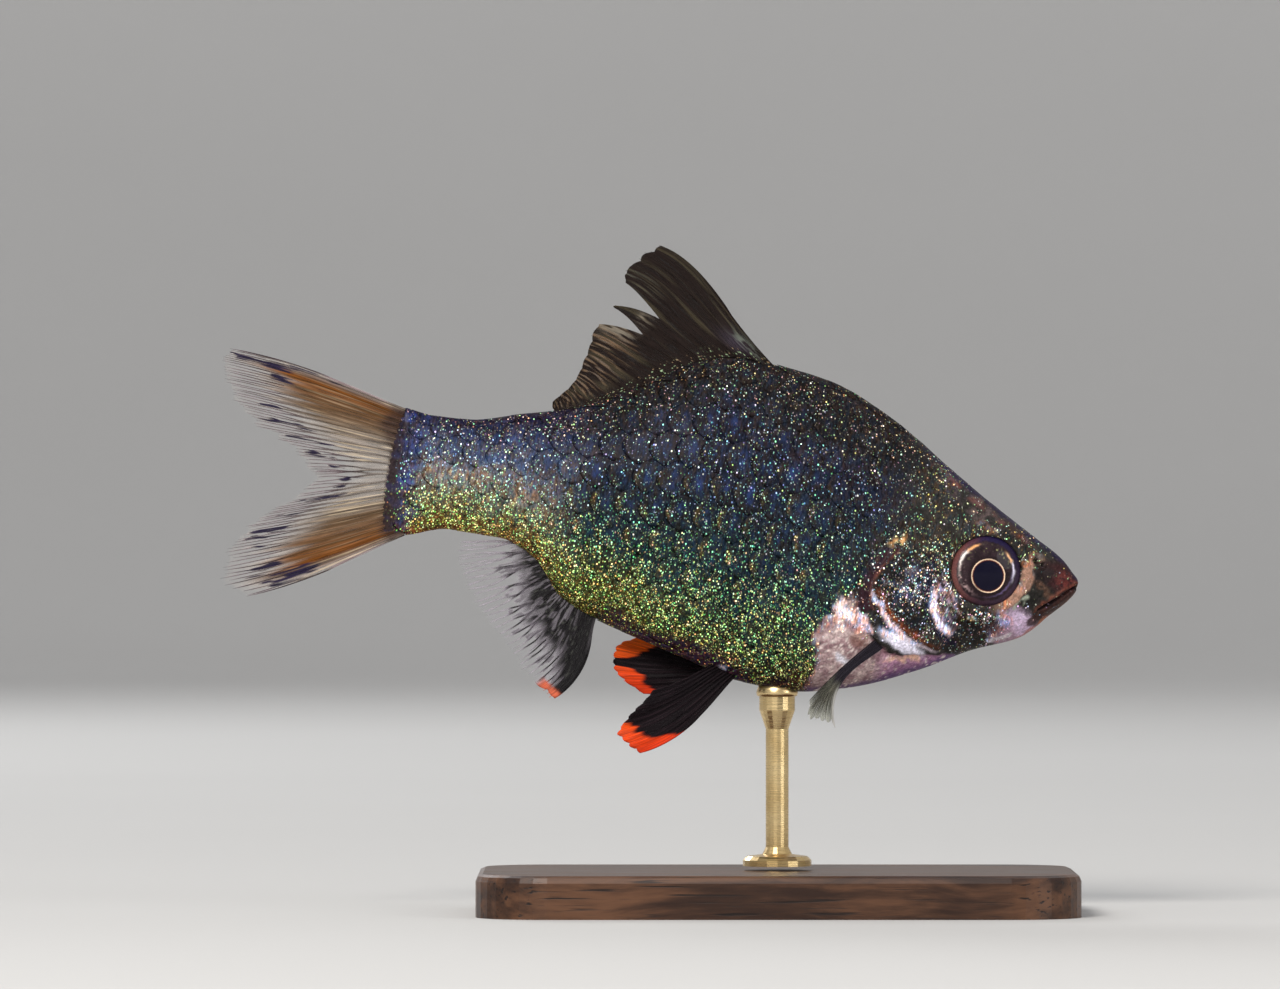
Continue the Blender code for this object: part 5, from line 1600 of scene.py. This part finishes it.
def pelvic_paint(orange):
    """Black with orange at the rear. The table gives, by share, the reach where the orange begins."""

    def paint(share, reach, phase, ray):
        start = np.interp(share, *np.array(orange).T) + 0.05 * mottle(share * 40, reach * 2, 1.0, 131)
        tip = soft(reach, start - 0.025, start + 0.03)
        colour = np.zeros(share.shape + (3,)) + (0.007, 0.005, 0.006)
        streaky = soft(mottle(share * 55, reach * 3, 1.0, 132), 0.2, 0.8)
        colour = lay_over(colour, 0.35 * streaky, (0.026, 0.014, 0.018))
        hue = stops(share, ((0.0, 0.58, 0.035, 0.008), (0.5, 0.66, 0.065, 0.008), (1.0, 0.78, 0.120, 0.006)))
        hue = hue * (1 + 0.25 * mottle(share * 60, reach * 4, 1.0, 133))[..., None]
        colour = colour * (1 - tip[..., None]) + hue * tip[..., None]
        return colour, 0.995 - 0.08 * tip

    return paint


def pectoral_paint(share, reach, phase, ray):
    """Clear grey membrane between dark rays, dark at its root, with a white leading ray."""
    stem = 1 - soft(reach, 0.54, 0.72)
    if ray:
        colour = np.zeros(share.shape + (3,)) + (0.020, 0.015, 0.017)
        colour = lay_over(colour, stem * (1 - soft(share, 0.3, 0.6)), (0.075, 0.030, 0.030))
        lead = (1 - soft(share, 0.04, 0.10)) * soft(reach, 0.60, 0.72)
        colour = lay_over(colour, lead, (0.60, 0.56, 0.50))
        return colour, np.full(share.shape, 0.92)
    colour = np.zeros(share.shape + (3,)) + (0.19, 0.19, 0.14)
    colour = lay_over(colour, 0.95 * stem, (0.016, 0.012, 0.022))
    pale = soft(reach, 0.84, 0.98)
    colour = lay_over(colour, 0.6 * pale, (0.40, 0.40, 0.33))
    lead = (1 - soft(share, 0.05, 0.12)) * soft(reach, 0.58, 0.72)
    colour = lay_over(colour, 0.9 * lead, (0.62, 0.60, 0.56))
    return colour, 0.36 + 0.62 * stem + 0.10 * pale + 0.45 * lead * (1 - stem)


RIGHT_ORANGE = ((0.0, 0.60), (0.12, 0.72), (0.25, 0.87), (0.40, 0.86), (0.50, 0.92), (0.60, 1.1), (1.0, 1.1))
LEFT_ORANGE = ((0.0, 0.84), (0.15, 0.80), (0.34, 0.78), (0.42, 0.86), (0.46, 1.1), (0.56, 1.1), (0.60, 0.84))
LEFT_ORANGE += ((0.70, 0.76), (1.0, 0.66))


def make_fins():
    """Every fin as a membrane that stands for its node, and its rays."""
    dark, amber = fin_material("dark_fin_web", 0.65, 9.0), fin_material("amber_fin_web", 0.55, 11.0)
    red, clear = fin_material("red_tip_fin_web", 0.65, 9.0), fin_material("clear_fin_web", 0.55, 8.0)

    def fin(node, sheet, margin, rays, paint, span, sizes, material, slot, seed, splits=(0.30, 0.58), past=0.015):
        grid, thickness, width = sizes
        make_web(node + "_web", sheet, margin, rays, paint, grid, span, thickness, material, node)
        make_rays(node + "_rays", sheet, margin, rays, paint, width, splits, material, seed, past)

    rays = np.linspace(0.01, 0.985, 13)
    sheet = middle_fin(DORSAL, DORSAL_BASE, 1, 1)
    sizes = ((380, 90), (0.75, 0.10), (0.09, 0.030))
    fin("dorsal_fin", sheet, dorsal_margin(rays), rays, dorsal_paint, (0, 1), sizes, dark, "dark_fin", 141)

    rays = np.linspace(0.015, 0.985, 9)
    sheet = middle_fin(ANAL, ANAL_BASE, 2, -1)
    sizes = ((220, 60), (0.65, 0.08), (0.12, 0.036))
    margin = plain_margin(0.03, rays, 142, 0.03)
    fin("anal_fin", sheet, margin, rays, anal_paint, (0, 1), sizes, dark, "dark_fin", 143, (0.16, 0.42), 0.04)

    lobes = (("tail_fin_upper", (0.0, 0.499), 11, 144), ("tail_fin_lower", (0.501, 1.0), 10, 145))
    sizes = ((220, 64), (0.55, 0.07), (0.080, 0.030))
    splits, past = (0.20, 0.50), 0.035
    for node, span, count, seed in lobes:
        rays = np.linspace(span[0] + 0.012, span[1] - 0.012, count)
        margin = frayed_margin(rays, seed)
        fin(node, caudal_fin, margin, rays, caudal_paint, span, sizes, amber, "amber_fin", seed, splits, past)

    rays = np.linspace(0.02, 0.98, 9)
    sizes = ((150, 50), (0.55, 0.12), (0.065, 0.03))
    for node, shape, orange, seed in (
        ("pelvic_fin_right", PELVIC_RIGHT, RIGHT_ORANGE, 146),
        ("pelvic_fin_left", PELVIC_LEFT, LEFT_ORANGE, 147),
    ):
        margin = plain_margin(0.02, rays, seed, 0.015)
        fin(node, paired_fin(shape), margin, rays, pelvic_paint(orange), (0, 1), sizes, red, "red_tip_fin", seed)

    rays = np.linspace(0.03, 0.97, 7)
    sizes = ((110, 44), (0.45, 0.06), (0.075, 0.024))
    pair = (("pectoral_fin_right", PECTORAL_RIGHT, 148), ("pectoral_fin_left", PECTORAL_LEFT, 149))
    for node, shape, seed in pair:
        margin = plain_margin(0.03, rays, seed, 0.03)
        fin(node, paired_fin(shape), margin, rays, pectoral_paint, (0, 1), sizes, clear, "clear_fin", seed)


def wood_material():
    """Dark-stained hardwood under satin varnish: grain drawn out along the base, and pores."""
    shader = Shader("walnut", Coat_Weight=0.12, Coat_Roughness=0.30, Specular_IOR_Level=0.25)
    place = shader.object_place()
    wander = shader.add("TexNoise", {"Vector": place, "Scale": 60.0}, out=1)
    bent = shader.plus(place, shader.times(wander, 0.004))
    drawn = shader.stretched(bent, (26.0, 260.0, 260.0))
    grain = shader.noise(drawn, 3.0, 6.0, 0.62)
    fine = shader.noise(shader.stretched(place, (90.0, 2200.0, 2200.0)), 2.0, 3.0)
    colour = shader.mix(shader.soft(grain, 0.32, 0.68), (0.022, 0.009, 0.005, 1), (0.105, 0.046, 0.022, 1))
    pores = shader.soft(fine, 0.30, 0.42)
    colour = shader.mix(pores, (0.008, 0.004, 0.003, 1), colour)
    return shader.drive(
        Base_Color=colour,
        Roughness=shader.soft(grain, 0.2, 0.8, 0.34, 0.46),
        Normal=shader.bump(shader.math("ADD", pores, grain), 0.00004, 0.25),
    )


def brass_material():
    """Brushed brass: fine turning marks round the rod, and a slight tarnish."""
    shader = Shader("brushed_brass", Metallic=1.0)
    place = shader.object_place()
    marks = shader.noise(shader.stretched(place, (300.0, 300.0, 14000.0)), 1.0, 3.0)
    cloud = shader.noise(place, 350.0, 3.0)
    colour = shader.mix(shader.soft(cloud, 0.35, 0.7), (0.62, 0.44, 0.20, 1), (0.78, 0.60, 0.32, 1))
    return shader.drive(
        Base_Color=colour,
        Roughness=shader.soft(marks, 0.3, 0.7, 0.20, 0.38),
        Normal=shader.bump(marks, 0.00001, 0.4),
    )


def make_stand():
    """The stand's nodes keep their shape and get their finish, and a short seat fills the gap under the belly."""
    wood, brass = wood_material(), brass_material()
    for node, material in (("stand_base", wood), ("stand_rod", brass)):
        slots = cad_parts[node].material_slots
        for slot in slots:
            slot.material = material
    # The seat laps half a millimetre over the rod. Its profile is its radius by height.
    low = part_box("stand_rod")[1].z / MM - 0.5
    profile = np.array(((1.10, 0.0), (1.42, 0.12), (1.46, 0.35), (1.34, 0.75), (0.95, 1.25))) + (0, low)
    turn = np.linspace(0, TAU, 48, endpoint=False)
    ring = np.stack([np.cos(turn), np.sin(turn), 0 * turn], -1)
    points = (profile[:, None, :1] * ring[None]) + np.array([0, 0, 1]) * profile[:, None, 1:]
    points = np.concatenate([points.reshape(-1, 3), [[0, 0, low], [0, 0, profile[-1, 1]]]])
    rows = len(profile)
    k = np.arange(48)
    n = (k + 1) % 48
    base = (rows - 1) * 48
    under = np.stack([np.full_like(k, rows * 48), n, k], -1)
    over = np.stack([np.full_like(k, rows * 48 + 1), base + k, base + n], -1)
    faces = [grid_quads(rows, 48, wrap=True), under, over]
    turn_out(make_piece("stand_seat", points, faces, brass))


def make_studio():
    """A pale floor that curves up all round into a low wall, soft lamps, and the photograph's camera."""
    bend = np.linspace(0, math.pi / 2, 24)[1:]
    radius = np.concatenate([np.linspace(0.1, 1.0, 10), 1.0 + 0.9 * np.sin(bend), [1.9]])
    height = np.concatenate([np.zeros(10), 0.9 * (1 - np.cos(bend)), [1.3]])
    turn = np.linspace(0, TAU, 96, endpoint=False)
    rings = np.stack(
        [radius[:, None] * np.cos(turn), radius[:, None] * np.sin(turn), height[:, None] + 0 * turn], -1
    )
    mesh = bpy.data.meshes.new("studio_floor")
    points = np.concatenate([rings.reshape(-1, 3), [[0, 0, 0]]])
    k = np.arange(96)
    middle = np.stack([np.full_like(k, len(points) - 1), k, (k + 1) % 96], -1)
    around = grid_quads(len(radius), 96, wrap=True)[:, ::-1]
    mesh.from_pydata(points.tolist(), [], around.tolist() + middle.tolist())
    mesh.shade_smooth()
    shader = Shader("studio_paper", Roughness=0.85, Specular_IOR_Level=0.2)
    cloud = shader.noise(shader.object_place(), 6.0, 2.0)
    paper = shader.mix(cloud, (0.50, 0.49, 0.475, 1), (0.53, 0.52, 0.505, 1))
    # The paper is painted lighter up the wall, up to 1.62 times at the top: painted light
    rise = shader.parts(shader.object_place())[2]
    paper = shader.times(paper, shader.soft(rise, 0.02, 0.50, 1.0, 1.62))
    mesh.materials.append(shader.drive(Base_Color=paper))
    floor = bpy.data.objects.new("studio_floor", mesh)
    bpy.context.scene.collection.objects.link(floor)

    aim = np.array([-0.009, 0.0, 0.024])
    lamps = (
        ("key", (-0.25, -0.62, 0.45), 0.26, 6.0, (1.0, 0.97, 0.93)),
        ("fill", (0.60, -0.45, 0.22), 0.35, 1.5, (0.93, 0.96, 1.0)),
        ("rear", (-0.35, 0.62, 0.40), 0.40, 2.2, (0.96, 0.98, 1.0)),
    )
    for name, place, size, power, colour in lamps:
        data = bpy.data.lights.new(name, "AREA")
        data.shape, data.size, data.energy, data.color = "DISK", size, power, colour
        lamp = bpy.data.objects.new(name, data)
        lamp.location = place
        lamp.rotation_euler = look_along(aim - np.array(place))
        lamp.visible_camera = False
        bpy.context.scene.collection.objects.link(lamp)
    world = bpy.data.worlds.new("studio_air")
    world.use_nodes = True
    world.node_tree.nodes["Background"].inputs[0].default_value = (0.94, 0.96, 1.0, 1)
    world.node_tree.nodes["Background"].inputs[1].default_value = 0.70
    bpy.context.scene.world = world

    data = bpy.data.cameras.new("camera")
    data.sensor_width = SENSOR
    data.lens = SENSOR * VIEW_DISTANCE / VIEW_WIDTH
    data.clip_start, data.clip_end = 0.02, 8.0
    camera = bpy.data.objects.new("camera", data)
    camera.location = (VIEW_CENTRE[0] * MM, -VIEW_DISTANCE * MM, VIEW_CENTRE[1] * MM)
    camera.rotation_euler = (math.pi / 2, 0, 0)
    bpy.context.scene.collection.objects.link(camera)
    bpy.context.scene.camera = camera
    bpy.context.scene.view_settings.view_transform = "Standard"


def look_along(direction):
    """Euler angles that point a lamp's own -Z along a direction."""
    x, y, z = direction / np.linalg.norm(direction)
    return (math.acos(-z), 0.0, math.atan2(-x, y) if abs(z) < 1 else 0.0)


make_studio()
make_stand()
make_skin(skin_material())
make_all_scales(scale_material())
ball = eye_material()
make_eye("right", -1, ball)
make_eye("left", 1, ball)
make_fins()
